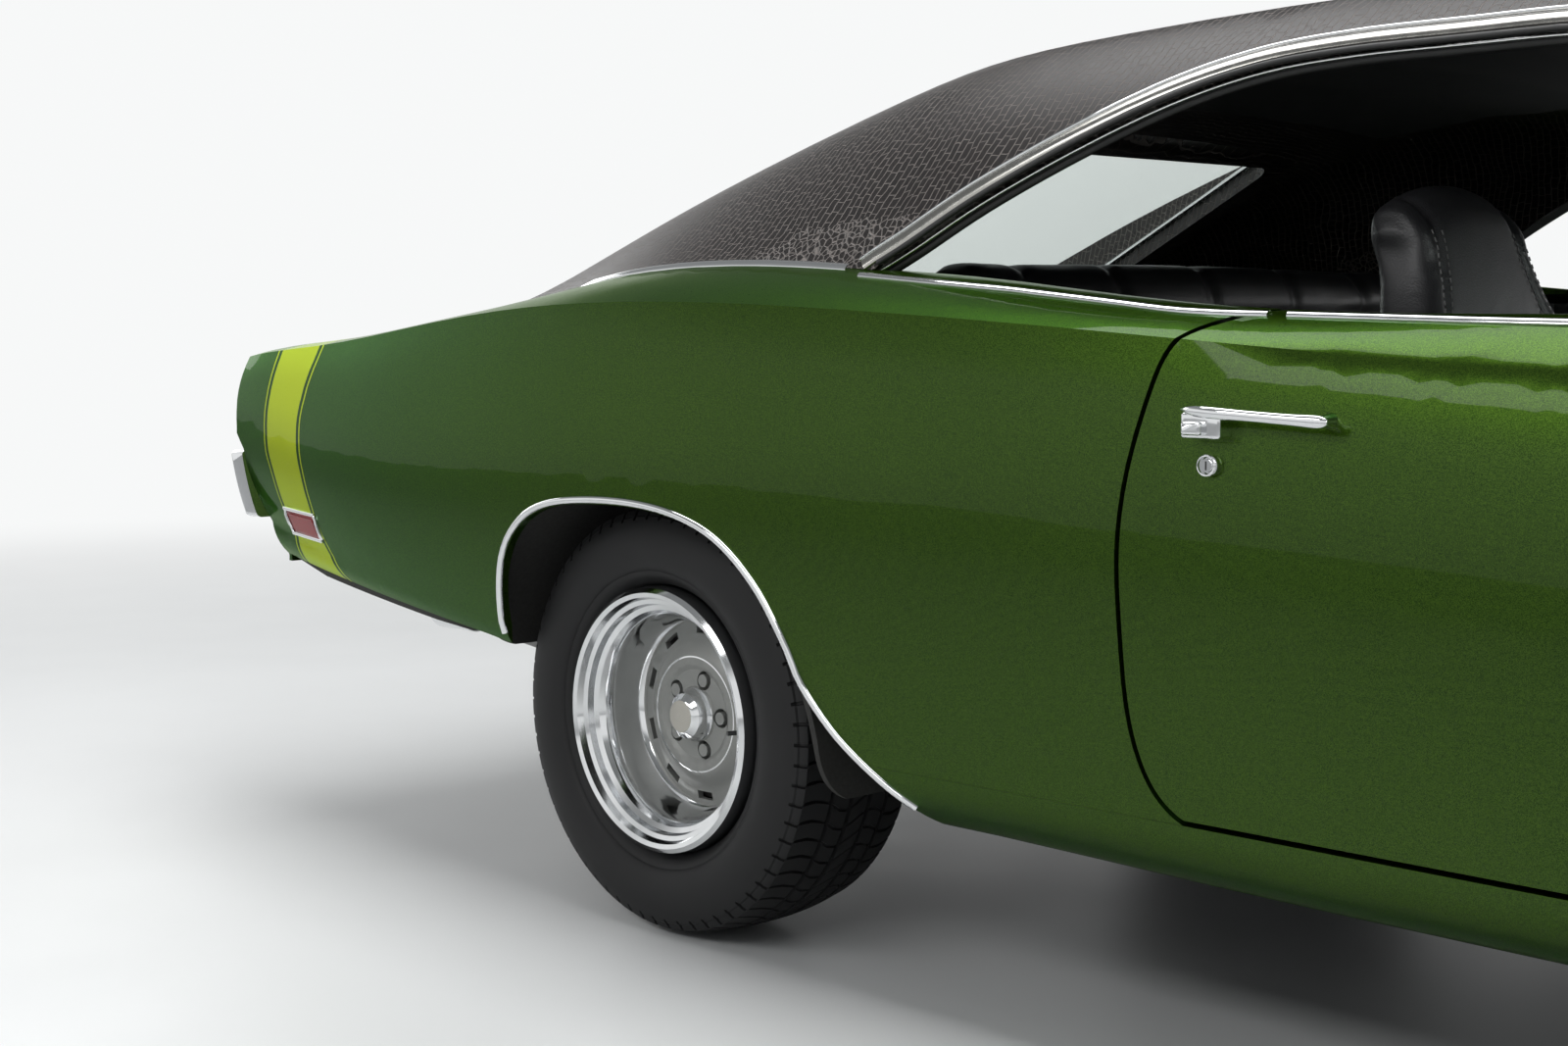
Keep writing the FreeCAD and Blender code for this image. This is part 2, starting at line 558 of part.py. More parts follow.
hood_clip = body_block(SKIN / 2, SKIN / 2, -OVERRUN)
hood = hinged_panel([hood_skin, hood_core], HOOD_HINGE, hood_clip)
SCOOP_DEPTH = 8.0
SCOOP_HALF = 34.0
SCOOP_SHARES = (0.900, 1.110, 0.42)
scoop_ends = []
for share in SCOOP_SHARES[:2]:
    above = V(x_at(share), y_at(SCOOP_SHARES[2]), BODY_HEIGHT)
    scoop_ends.append(hood_skin.distToShape(Part.Vertex(above))[1][0][0])
scoop_ends[1] += V(0, 0, SEAM)
scoop = recess(scoop_ends[0], scoop_ends[1], (ALONG, ACROSS * SCOOP_HALF), V(0, 0, -SCOOP_DEPTH))
hood = hood.cut([scoop, mirrored(scoop)])
save("hood", hood)
lid_skin = body.cut(hollow).common(upright(lid_face, z_at(0.80), z_at(1.2)))
lid_core = body.cut(under_hood).common(upright(grown(lid_face, -EDGE_GAP), z_at(0.80), z_at(1.2)))
deck_lid = hinged_panel([lid_skin, lid_core], LID_HINGE, hood_clip)
save("deck_lid", deck_lid)

# Fixed outer panels
QUARTER_END_SHARE = 0.369
DUTCHMAN_SHARES = (-0.1395, -0.1598)
top_holes = cabin_hole.fuse([hood_hole, lid_hole])
side_skin = left_half(skin).cut([door_hole, door_hole.translated(V(DOOR_LEAD, 0, 0))])
rocker_zone = box(rocker_x[0], rocker_x[1], y_at(0.80), y_at(1.2), 0, ROCKER_TOP)
fixed_skin = side_skin.cut(top_holes).cut(box(rocker_x[0] - OVERRUN, rocker_x[1] + SEAM, 0, y_at(1.2), 0,
                                              ROCKER_TOP + SEAM))
HEADER_SHARE = 1.2335
NOSE_PANEL_SPLIT = x_at(HEADER_SHARE) + SHUT_GAP
fender = ahead(x_at(0.7745), fixed_skin)
cowl_zone = share_box(0.60, 0.7845, 0, 0.800, 0.80, 1.2)
header_zone = box(NOSE_PANEL_SPLIT, WHEELBASE, 0, y_at(0.722), z_at(0.62), z_at(1.2))
fender = fender.cut(cowl_zone).cut(header_zone).cut(box(0, WHEELBASE, 0, y_at(0.60), 0, z_at(1.2)))
save_pair("front_fender", fender)

quarter_thin = behind(x_at(QUARTER_END_SHARE), fixed_skin)
TAIL_STRIP_SHARES = (-0.408, 0.690)
tail_strip_zone = box(-WHEELBASE, x_at(TAIL_STRIP_SHARES[0]) - SHUT_GAP, -y_at(TAIL_STRIP_SHARES[1]),
                      y_at(TAIL_STRIP_SHARES[1]), z_at(0.80), z_at(1.2))
quarter_thin = quarter_thin.cut(share_box(-0.20, -0.09, 0, 0.598, 0.80, 1.2)).cut(tail_strip_zone)
quarter_thin = quarter_thin.cut(box(-WHEELBASE, 0, 0, y_at(0.40), 0, z_at(1.2)))
quarter_wall_zone = box(x_at(0.135), x_at(0.369), 0, y_at(1.2), ROCKER_TOP + SEAM, z_at(1.2))
quarter_wall = left_half(body).cut(body_block(QUARTER_WALL, -OVERRUN, -OVERRUN)).common(quarter_wall_zone)
quarter_wall = quarter_wall.cut(door_hole).cut(wheel_arch(0))
quarter = joined([quarter_thin, quarter_wall])
save_pair("quarter_panel", quarter)

rocker = left_half(body).common(rocker_zone).cut(wheel_arch(0))
save_pair("rocker", rocker)

crown = body.cut(hollow)
cowl = crown.common(share_box(0.60, 0.7845, -0.800, 0.800, 0.86, 1.2)).cut(top_holes)
cowl = cowl.cut(share_box(0.5, 0.9, 0.800, 1.2, 0.5, 1.2))
save("cowl_panel", cowl)
dutchman = crown.common(share_box(DUTCHMAN_SHARES[1], DUTCHMAN_SHARES[0], -0.598, 0.598, 0.86, 1.2))
dutchman = dutchman.cut(lid_hole)
ARM_FOOT = 800.0
ARM_DEPTH = 20.0
ARM_FRONT = -1740.0
lid_arm = [hinge_leaf(LID_HINGE, ARM_FOOT)]
lid_arm.append(box(LID_HINGE.x - HINGE_EYE, ARM_FRONT, LID_HINGE.y, LID_HINGE.y + LID_HINGE_LEAF, ARM_FOOT,
                   ARM_FOOT + ARM_DEPTH))
lid_arm.append(box(ARM_FRONT - ARM_DEPTH, ARM_FRONT, LID_HINGE.y, LID_HINGE.y + LID_HINGE_LEAF, ARM_FOOT,
                   BODY_HEIGHT).common(hood_clip))
lid_arm = joined(lid_arm)
save("rear_deck_bridge", joined([dutchman, lid_arm, mirrored(lid_arm)]))

# Roof with its buttresses
roof_outer = roof_block(0)
body_seat = body_block(-SEAM, -SEAM, 0)
tunnel_plan = plan_face(TUNNEL_PLAN_SHARES)
tunnel = through(side_face(TUNNEL_SHARES), -y_at(1), y_at(1)).common(upright(tunnel_plan, 0, z_at(2)))
tunnel_wall = through(grown(side_face(TUNNEL_SHARES), ROOF_WALL), -y_at(1), y_at(1))
tunnel_wall = tunnel_wall.common(upright(grown(tunnel_plan, ROOF_WALL), 0, z_at(2)))
side_windows = through(side_face(SIDE_WINDOW_SHARES), -y_at(1.2), y_at(1.2))
cavity = roof_block(ROOF_WALL).cut(tunnel_wall)
roof = roof_outer.cut(cavity).cut(tunnel).cut(side_windows).common(windshield_drum(0)).cut(body_seat)
roof = roof.cut(box(x_at(0.60), WHEELBASE, -y_at(0.70), y_at(0.70), 0, z_at(1.2)))
BACKLIGHT_SHARES = straight([(0.0655, 0.462), (-0.118, 0.552), (-0.118, -0.552), (0.0655, -0.462)])
BACKLIGHT_CORNER = 46.0


def backlight_hole(margin):
    """Upright prism of the rear window with rounded corners, drawn in by a margin."""
    prism = upright(grown(plan_face(BACKLIGHT_SHARES), -margin) if margin else plan_face(BACKLIGHT_SHARES),
                    0, z_at(1.30))
    corners = [e for e in prism.Edges if abs(e.tangentAt(e.FirstParameter).z) > 0.9]
    return prism.makeFillet(BACKLIGHT_CORNER - margin, corners)


roof = roof.cut(backlight_hole(0))
roof = roof.cut(upright(grown(lid_face, SHUT_GAP), 0, z_at(2)))
save("roof_panel", roof)

# Fixed glass
glass_zone = roof_block(ROOF_WALL + SEAM)
windshield = windshield_drum(0).cut(windshield_drum(GLASS)).common(glass_zone).cut(body_seat)
windshield = ahead(x_at(0.50), windshield)
save("windshield", windshield)
tunnel_floor = side_face([[(0.068, 1.262), (-0.1395, 0.978)],
                          [(-0.1395, 0.972), (0.068, 1.256)]])
backlight = through(tunnel_floor, -y_at(1), y_at(1)).common(backlight_hole(SEAM))
save("rear_window", backlight)

# Nose: header panel, loop bumper, grille, lamp doors and lamps
BUMPER_REACH = 2648.0
LOOP_HALF_WIDTH = 878.0
LOOP_BOTTOM = 452.0
LOOP_TOP = 792.0
LOOP_CORNER = 120.0
LOOP_TOP_BAR = 52.0
LOOP_SIDE_BAR = 70.0
LOOP_BOTTOM_BAR = 80.0
LOOP_INNER_CORNER = 60.0
GRILLE_BACK = 2544.0
GRILLE_PLATE = 5.0
GRILLE_FRONT = 2580.0
GRILLE_RIM = 9.0
BAR_PITCH = 16.0
BAR_THICK = 5.0
MOVING_GAP = 7.0
LAMP_RADIUS = 73.0
LAMP_DOOR_INNER = 462.0
LAMP_DOOR_OUTER = 782.0
LAMP_ARM = 4.0
LAMP_SWEEP = 110.0
VALANCE_TOP = 466.0
VALANCE_BOTTOM = 330.0
BRACKET_Y = 560.0
BRACKET_WIDTH = 50.0
BRACKET_TOP = 512.0


def rounded_front(half_width, bottom, top, radius, x0, x1):
    """Prism along the car of a rectangle with rounded corners."""
    block = box(x0, x1, -half_width, half_width, bottom, top)
    edges = [e for e in block.Edges if abs(e.tangentAt(e.FirstParameter).x) > 0.9]
    return block.makeFillet(radius, edges)


def nose_layer(front, back):
    return nose_drum(front).cut(nose_drum(back))


nose_x = NOSE_PANEL_SPLIT
loop_outer = rounded_front(LOOP_HALF_WIDTH, LOOP_BOTTOM, LOOP_TOP, LOOP_CORNER, nose_x, WHEELBASE)
opening_half = LOOP_HALF_WIDTH - LOOP_SIDE_BAR
opening_bottom = LOOP_BOTTOM + LOOP_BOTTOM_BAR
opening_top = LOOP_TOP - LOOP_TOP_BAR
lamp_z = (opening_bottom + opening_top) / 2
loop_inner = rounded_front(opening_half, opening_bottom, opening_top, LOOP_INNER_CORNER, nose_x, WHEELBASE)
bumper_front = nose_layer(BUMPER_REACH, NOSE_REACH + SEAM).common(loop_outer).cut(loop_inner)
save("bumper_front", bumper_front)

nose_panel = crown.common(box(NOSE_PANEL_SPLIT, WHEELBASE, -y_at(0.722), y_at(0.722), z_at(0.62), z_at(1.2)))
save("nose_panel", nose_panel)

grille_hole = rounded_front(opening_half, opening_bottom, opening_top, LOOP_INNER_CORNER, nose_x, WHEELBASE)
grille_outline = rounded_front(opening_half + GRILLE_RIM, opening_bottom - GRILLE_RIM,
                               opening_top + GRILLE_RIM, LOOP_INNER_CORNER + GRILLE_RIM, nose_x, WHEELBASE)
surround = nose_layer(NOSE_REACH, GRILLE_BACK).common(grille_outline).cut(grille_hole)
for side in (-1, 1):
    room = sorted([side * (LAMP_DOOR_INNER - 2 * MOVING_GAP), side * LOOP_HALF_WIDTH])
    surround = surround.cut(box(nose_x, WHEELBASE, room[0], room[1], lamp_z, BODY_HEIGHT))
plate_zone = nose_layer(GRILLE_BACK + GRILLE_PLATE, GRILLE_BACK).common(grille_hole)
bars = []
bar_z = opening_bottom + BAR_PITCH
while bar_z + BAR_THICK < opening_top:
    bars.append(box(nose_x, WHEELBASE, -opening_half, opening_half, bar_z, bar_z + BAR_THICK))
    bar_z += BAR_PITCH
bar_zone = Part.makeCompound(bars).common(nose_layer(GRILLE_FRONT, GRILLE_BACK + GRILLE_PLATE / 2))
bar_zone = bar_zone.common(grille_hole)
centre_half = LAMP_DOOR_INNER - MOVING_GAP
centre_zone = box(nose_x, WHEELBASE, -centre_half, centre_half, 0, BODY_HEIGHT)
lamp_field = joined([plate_zone] + bar_zone.Solids)
grille = joined([surround, lamp_field.common(centre_zone)])
save("grille", grille)

lamp_middle = (LAMP_DOOR_INNER + LAMP_DOOR_OUTER) / 2
lamp_angle = math.asin(lamp_middle / NOSE_RADIUS)
pivot_radius = NOSE_RADIUS - LAMP_SWEEP
pivot_x = GRILLE_FRONT - NOSE_RADIUS + pivot_radius * math.cos(lamp_angle)
pivot_y = pivot_radius * math.sin(lamp_angle)
door_outline = rounded_front(opening_half - MOVING_GAP, opening_bottom + MOVING_GAP,
                             opening_top - MOVING_GAP, LOOP_INNER_CORNER - MOVING_GAP, nose_x, WHEELBASE)
lamp_door_zone = box(nose_x, WHEELBASE, LAMP_DOOR_INNER, opening_half, 0, BODY_HEIGHT)
lamp_door = lamp_field.common(door_outline).common(lamp_door_zone)


def turned(shape):
    """Turns a piece built square to the car at the pivot to the sweep of the nose."""
    shape = shape.copy()
    shape.rotate(V(0, 0, 0), UP, math.degrees(lamp_angle))
    shape.translate(V(pivot_x, pivot_y, lamp_z))
    return shape


half_span = (LAMP_DOOR_OUTER - LAMP_DOOR_INNER) / 2 - MOVING_GAP
arm_reach = LAMP_SWEEP - (GRILLE_FRONT - GRILLE_BACK) + GRILLE_PLATE
arms = []
for side in (-1, 1):
    arm_y = side * (half_span - LAMP_ARM / 2)
    arm = box(-LAMP_ARM, arm_reach, arm_y - LAMP_ARM / 2, arm_y + LAMP_ARM / 2, -LAMP_ARM * 2, LAMP_ARM * 2)
    arms.append(turned(arm))
LAMP_PIN_BORE = 4.4
pin_bore = turned(Part.makeCylinder(LAMP_PIN_BORE, 4 * half_span, V(0, -2 * half_span, 0), ACROSS))
lamp_door = joined([lamp_door] + arms).cut(pin_bore)
save_pair("headlamp_door", lamp_door)

lamp_parts = []
LAMP_FACE = 22.0
LAMP_BOWL = 78.0
LAMP_SPACING = 74.5
LAMP_WALL = 6.0
for side in (-1, 1):
    bowl = Part.makeCylinder(LAMP_RADIUS - LAMP_WALL, LAMP_BOWL, V(-LAMP_BOWL, side * LAMP_SPACING, 0), ALONG)
    lens = Part.makeSphere(LAMP_RADIUS * 2, V(LAMP_FACE - LAMP_RADIUS * 2, side * LAMP_SPACING, 0))
    lens = lens.common(Part.makeCylinder(LAMP_RADIUS - LAMP_WALL, LAMP_FACE + LAMP_WALL,
                                         V(-LAMP_WALL, side * LAMP_SPACING, 0), ALONG))
    lamp_parts += [bowl, lens]
LAMP_PLATE_X = -84.0
LAMP_PLATE_HALF = 56.0
lamp_plate = box(LAMP_PLATE_X, LAMP_PLATE_X + LAMP_WALL * 2, -2 * LAMP_SPACING, 2 * LAMP_SPACING,
                 -LAMP_PLATE_HALF, LAMP_PLATE_HALF)
LAMP_PIN = 4.0
lamp_pin = Part.makeCylinder(LAMP_PIN, 2 * half_span, V(0, -half_span, 0), ACROSS)
headlamps = turned(joined(lamp_parts + [lamp_plate, lamp_pin]))
PARK_LAMP_Y = 560.0
PARK_LAMP_HALF = 80.0
PARK_LAMP_Z = 392.0
PARK_LAMP_RISE = 28.0
PARK_LAMP_CORNER_SHARE = 0.9


def park_blank(margin):
    """Prism of a parking lamp's outline, drawn in by a margin."""
    rise = PARK_LAMP_RISE - margin
    return rounded_front(PARK_LAMP_HALF - margin, PARK_LAMP_Z - rise, PARK_LAMP_Z + rise,
                         rise * PARK_LAMP_CORNER_SHARE, 0, WHEELBASE).translated(V(0, PARK_LAMP_Y, 0))


park_lamp = park_blank(SEAM).common(nose_layer(NOSE_REACH, NOSE_REACH - SKIN))
save("headlamps", Part.makeCompound([headlamps, mirrored(headlamps), park_lamp, mirrored(park_lamp)]))

# Radiator support that carries the lamps and closes the front of the engine bay
SUPPORT_DEPTH = 20.0
SUPPORT_X = 2280.0
support = body_block(LID_DEPTH + SHUT_GAP, LID_DEPTH + SHUT_GAP, -OVERRUN)
support = support.common(box(SUPPORT_X, SUPPORT_X + SUPPORT_DEPTH, -y_at(1), y_at(1), 0, BODY_HEIGHT))
SUPPORT_HALF = 700.0
support = support.common(box(0, WHEELBASE, -SUPPORT_HALF, SUPPORT_HALF, VALANCE_BOTTOM, BODY_HEIGHT))
RADIATOR_HALF = 330.0
RADIATOR_BOTTOM = 380.0
RADIATOR_TOP = 790.0
support = support.cut(box(0, WHEELBASE, -RADIATOR_HALF, RADIATOR_HALF, RADIATOR_BOTTOM, RADIATOR_TOP))
lamp_tie = box(SUPPORT_X + SUPPORT_DEPTH / 2, pivot_x + LAMP_PLATE_X, pivot_y - LAMP_SPACING / 2,
               pivot_y + LAMP_SPACING / 2, lamp_z - LAMP_WALL, lamp_z + LAMP_WALL)
lamp_tie = lamp_tie.cut(headlamps)
bracket = box(SUPPORT_X, WHEELBASE, BRACKET_Y, BRACKET_Y + BRACKET_WIDTH, VALANCE_TOP + SEAM, BRACKET_TOP)
bracket = bracket.common(nose_drum(NOSE_REACH))
support = joined([support, lamp_tie, mirrored(lamp_tie), bracket, mirrored(bracket)])
RADIATOR_DEPTH = 60.0
radiator = box(SUPPORT_X - RADIATOR_DEPTH, SUPPORT_X - SEAM, -RADIATOR_HALF - SKIN, RADIATOR_HALF + SKIN,
               RADIATOR_BOTTOM - SKIN, RADIATOR_TOP + SKIN)
save("radiator_support", Part.makeCompound(support.Solids + [radiator]))

valance = nose_layer(NOSE_REACH, NOSE_REACH - SKIN).common(body_block(SKIN + SEAM, 0, -OVERRUN))
valance = valance.common(box(0, WHEELBASE, -y_at(1), y_at(1), VALANCE_BOTTOM, VALANCE_TOP))
valance = valance.cut([park_blank(0), mirrored(park_blank(0))])
save("front_valance", valance)

# Tail: recessed panel, lamps, bumper
TAIL_RECESS = 26.0
TAIL_PANEL_THICK = 14.0
TAIL_LAMP_INNER = 150.0
TAIL_LAMP_OUTER = 730.0
TAIL_LAMP_BOTTOM = 738.0
TAIL_LAMP_TOP = 832.0
TAIL_LAMP_STAND = 6.0
TAIL_LAMP_CORNER = 30.0
REAR_BUMPER_HALF = 846.0
REAR_BUMPER_BOTTOM = 575.0
REAR_BUMPER_TOP = 702.0
REAR_BUMPER_DEPTH = 47.7
REAR_BUMPER_EDGE = 9.0


def tail_layer(rear, front):
    """Layer that follows the tail's profile between two depths ahead of it."""
    return tail_cut.translated(V(front, 0, 0)).cut(tail_cut.translated(V(rear, 0, 0)))


def outer_edges(shape):
    """Edges round the rear face of the bumper, which lie away from the tail."""
    rear = tail_cut.translated(V(-REAR_BUMPER_DEPTH / 2, 0, 0))
    middles = [e.valueAt((e.FirstParameter + e.LastParameter) / 2) for e in shape.Edges]
    return [e for e, middle in zip(shape.Edges, middles) if rear.isInside(middle, SEAM, True)]


TAIL_PANEL_FOOT = 508.0
tail_fill = body_block(SKIN + SEAM, SKIN + SEAM, -OVERRUN)
tail_fill = tail_fill.common(box(-WHEELBASE, 0, -y_at(1), y_at(1), TAIL_PANEL_FOOT, z_at(1.2)))
tail_plate = tail_layer(TAIL_RECESS, TAIL_RECESS + TAIL_PANEL_THICK).common(tail_fill)
tail_strip = crown.common(tail_strip_zone)
tail_join = tail_layer(0, TAIL_RECESS + TAIL_PANEL_THICK).common(body_block(SKIN / 2, SKIN / 2, 0))
tail_join = tail_join.common(tail_strip_zone).cut(body_block(SKIN * 2, SKIN * 2, 0))
tail_panel = joined([tail_plate.cut(lid_hole), tail_strip, tail_join.cut(lid_hole)])
lamp_blank = rounded_front((TAIL_LAMP_OUTER - TAIL_LAMP_INNER) / 2, TAIL_LAMP_BOTTOM, TAIL_LAMP_TOP,
                           TAIL_LAMP_CORNER, -WHEELBASE, 0)
lamp_blank.translate(V(0, (TAIL_LAMP_OUTER + TAIL_LAMP_INNER) / 2, 0))
tail_lamp = lamp_blank.common(tail_layer(TAIL_LAMP_STAND, TAIL_RECESS - SEAM))
save("tail_panel", tail_panel)
VALANCE_DROP = 70.0
valance_foot = TAIL_PANEL_FOOT - VALANCE_DROP
valance_zone = box(-WHEELBASE, 0, -y_at(1), y_at(1), valance_foot, TAIL_PANEL_FOOT - SEAM)
rear_valance = tail_layer(0, SKIN).common(valance_zone)
valance_flange = tail_layer(0, TAIL_RECESS + TAIL_PANEL_THICK)
valance_flange = valance_flange.common(box(-WHEELBASE, 0, -y_at(0.78), y_at(0.78),
                                           TAIL_PANEL_FOOT - SKIN / 2, TAIL_PANEL_FOOT - SEAM))
VALANCE_END_RISE = 56.0
VALANCE_END_Y = (540.0, 740.0)
valance_ends = [(VALANCE_END_Y[0], valance_foot), (VALANCE_END_Y[1], valance_foot + VALANCE_END_RISE),
                (BODY_HALF_WIDTH, valance_foot + VALANCE_END_RISE)]
rear_valance = joined([rear_valance.common(body_block(SKIN + SEAM, 0, -OVERRUN)), valance_flange])
end_cut = lengthwise(valance_ends + [(BODY_HALF_WIDTH, 0), (VALANCE_END_Y[0], 0)], -WHEELBASE, 0)
rear_valance = rear_valance.cut([end_cut, mirrored(end_cut)])
save("rear_valance", rear_valance.common(body_block(SKIN + SEAM, 0, -OVERRUN)))
save("tail_lamps", Part.makeCompound([tail_lamp, mirrored(tail_lamp)]))
bumper_bar = box(-WHEELBASE, x_at(-0.39), -REAR_BUMPER_HALF, REAR_BUMPER_HALF, REAR_BUMPER_BOTTOM,
                 REAR_BUMPER_TOP)
bumper_rear = tail_layer(-REAR_BUMPER_DEPTH, -SEAM).common(bumper_bar)
bumper_rear = bumper_rear.makeFillet(REAR_BUMPER_EDGE, outer_edges(bumper_rear))
save("bumper_rear", bumper_rear)

# Side markers: a lens in a bezel on each corner of the body
MARKER_STAND = 5.0
MARKER_RIM = 6.0
MARKER_RIM_STAND = 3.0
REAR_MARKER = [(-2419.0, 598.0), (-2285.0, 593.0), (-2267.0, 551.0), (-2400.0, 557.0)]
FRONT_MARKER = [(2210.0, 600.0), (2344.0, 596.0), (2350.0, 554.0), (2216.0, 558.0)]


def side_outline(corners):
    points = [V(x, 0, z) for x, z in corners]
    return Part.Face(Part.makePolygon(points + points[:1]))


def marker(corners):
    """Lens standing proud of its bezel, both following the body side."""
    outline = side_outline(corners)
    lens = through(grown(outline, -MARKER_RIM), y_at(0.5), y_at(1.2))
    rim = through(outline, y_at(0.5), y_at(1.2))
    shapes = [rim.common(body_block(-MARKER_RIM_STAND, -MARKER_RIM_STAND, 0)),
              lens.common(body_block(-MARKER_STAND, -MARKER_STAND, 0))]
    return joined(shapes).cut(outer_seat)


markers = [marker(REAR_MARKER), marker(FRONT_MARKER)]
save("marker_lamps", Part.makeCompound(markers + [mirrored(shape) for shape in markers]))

# Wheels: rim with trim ring, slotted centre and lugs, turned about the axle
RIM_SEAT = 196.0
RIM_HALF = 104.0
RIM_OUTLINE = [(207.0, -104.0), (207.0, -96.0), (RIM_SEAT, -90.0), (RIM_SEAT, 90.0), (207.0, 96.0),
               (207.0, 108.0), (204.0, 122.0), (197.0, 127.0), (190.0, 124.0), (186.0, 114.0),
               (179.0, 111.0), (176.0, 101.0), (168.0, 97.0), (161.0, 84.0), (157.0, 40.0), (152.0, 24.0),
               (145.0, 18.0), (118.0, 23.0), (104.0, 34.0), (92.0, 41.0), (78.0, 41.0), (70.0, 36.0),
               (44.0, 38.0), (39.0, 44.0), (35.0, 62.0), (24.0, 71.0), (0.0, 74.0), (0.0, 12.0),
               (60.0, 12.0), (80.0, 24.0), (100.0, 22.0), (116.0, 12.0), (146.0, 8.0), (160.0, 12.0),
               (184.0, 12.0), (184.0, -90.0), (196.0, -104.0)]
SLOT_COUNT = 10
SLOT_RADIUS = 131.0
SLOT_WIDTH = 34.0
SLOT_HEIGHT = 13.0
LUG_COUNT = 5
LUG_CIRCLE = 57.15
LUG_POCKET = 15.0
LUG_NUT = 10.0
LUG_FACE = 40.0
LUG_DEPTH = 18.0
TYRE_HALF_OUTLINE = [(RIM_SEAT + SEAM, 88.0), (208.0, 95.0), (208.0, 100.0), (225.0, 116.0), (262.0, 128.0),
                     (300.0, 124.0), (322.0, 112.0), (332.0, 100.0), (TYRE_RADIUS, 84.0)]
TYRE_OUTLINE = [(radius, -across) for radius, across in TYRE_HALF_OUTLINE] + TYRE_HALF_OUTLINE[::-1]


def turned_about_axle(outline):
    corners = [V(radius, across, 0) for radius, across in outline]
    return Part.Face(Part.makePolygon(corners + corners[:1])).revolve(V(0, 0, 0), ACROSS, 360)


def around(shape, count, start=0):
    turn = 360 / count
    copies = []
    for index in range(count):
        copy = shape.copy()
        copy.rotate(V(0, 0, 0), ACROSS, turn * (index + start))
        copies.append(copy)
    return copies


def make_rim():
    rim = turned_about_axle(RIM_OUTLINE)
    slot = box(SLOT_RADIUS - SLOT_HEIGHT / 2, SLOT_RADIUS + SLOT_HEIGHT / 2, 0, RIM_HALF, -SLOT_WIDTH / 2,
               SLOT_WIDTH / 2)
    pocket = Part.makeCylinder(LUG_POCKET, RIM_HALF, V(LUG_CIRCLE, LUG_FACE - LUG_DEPTH, 0), ACROSS)
    nut = Part.makeCylinder(LUG_NUT, LUG_DEPTH, V(LUG_CIRCLE, LUG_FACE - LUG_DEPTH, 0), ACROSS)
    rim = rim.cut(around(slot, SLOT_COUNT, 0.5)).cut(around(pocket, LUG_COUNT))
    return rim.fuse(around(nut, LUG_COUNT))


rim = make_rim()
tyre = turned_about_axle(TYRE_OUTLINE)
for place, axle_x in (("front", FRONT_AXLE), ("rear", REAR_AXLE)):
    for side, sign in SIDES.items():
        turn = rim if sign > 0 else mirrored(rim)
        round_tyre = tyre if sign > 0 else mirrored(tyre)
        hub = V(axle_x, sign * WHEEL_PLANE, TYRE_RADIUS)
        save("wheel_" + place + "_" + side, turn.translated(hub))
        save("tyre_" + place + "_" + side, round_tyre.translated(hub))

# Knuckles, axle, springs and shafts
KINGPIN_Y = 716.0
KINGPIN = 18.0
HUB_FACE = 12.0
DISC_RADIUS = 138.0
DISC_BACK = -40.0
DISC_FACE = 2.0
HUB_BOSS = 56.0
KNUCKLE_TOP = 455.0
KNUCKLE_BOTTOM = 215.0
KNUCKLE_WIDTH = 36.0
KNUCKLE_INNER = 640.0
STEER_ARM = 118.0
STEER_ARM_THICK = 14.0
drum = joined([Part.makeCylinder(DISC_RADIUS, DISC_FACE - DISC_BACK, V(0, DISC_BACK, 0), ACROSS),
               Part.makeCylinder(HUB_BOSS, HUB_FACE - SEAM - DISC_BACK, V(0, DISC_BACK, 0), ACROSS)])
post_in = KNUCKLE_INNER - WHEEL_PLANE
pin_in = KINGPIN_Y - WHEEL_PLANE
post_foot = KNUCKLE_BOTTOM - TYRE_RADIUS
post_top = KNUCKLE_TOP - TYRE_RADIUS
knuckle_post = box(-KNUCKLE_WIDTH / 2, KNUCKLE_WIDTH / 2, post_in, pin_in, post_foot, post_top)
steer_arm = box(-STEER_ARM, 0, post_in, post_in + STEER_ARM_THICK * 2, post_foot + STEER_ARM_THICK,
                post_foot + 2 * STEER_ARM_THICK)
kingpin = Part.makeCylinder(KINGPIN, KNUCKLE_TOP - KNUCKLE_BOTTOM, V(0, pin_in, post_foot))
knuckle = joined([drum, knuckle_post, steer_arm, kingpin]).translated(V(FRONT_AXLE, WHEEL_PLANE, TYRE_RADIUS))
save_pair("knuckle", knuckle)

# Floor, wheelhouses, firewall and inner fenders
FLOOR_THICK = 20.0
FLOOR_HALF = 900.0
FLOOR_TOP_SHARES = [(0.7598, 0.500), (0.733, 0.340), (0.699, 0.276), (0.255, 0.276), (0.2416, 0.420),
                    (0.124, 0.450), (0.104, 0.530), (-0.125, 0.530), (-0.149, 0.455), (-0.330, 0.500),
                    (-0.392, 0.530), (-0.430, 0.530)]
TUNNEL_HALF_FOOT = (150.0, 215.0)
TUNNEL_HALF_TOP = (95.0, 150.0)
TUNNEL_TOP = (418.0, 476.0)
TUNNEL_WALL = 10.0
TUNNEL_PLAY = 2.0
TUNNEL_X_SHARES = (0.2416, 0.7598)
floor_drop = FLOOR_THICK / BODY_HEIGHT
floor_path = FLOOR_TOP_SHARES + [(x, z - floor_drop) for x, z in reversed(FLOOR_TOP_SHARES)]
inner_body = body_block(SKIN + SEAM, SKIN + SEAM, -OVERRUN)
floor_face = side_face(straight(floor_path + floor_path[:1]))
floor_base = z_at(FLOOR_TOP_SHARES[3][1]) - FLOOR_THICK
tunnel_x = [x_at(share) for share in TUNNEL_X_SHARES]


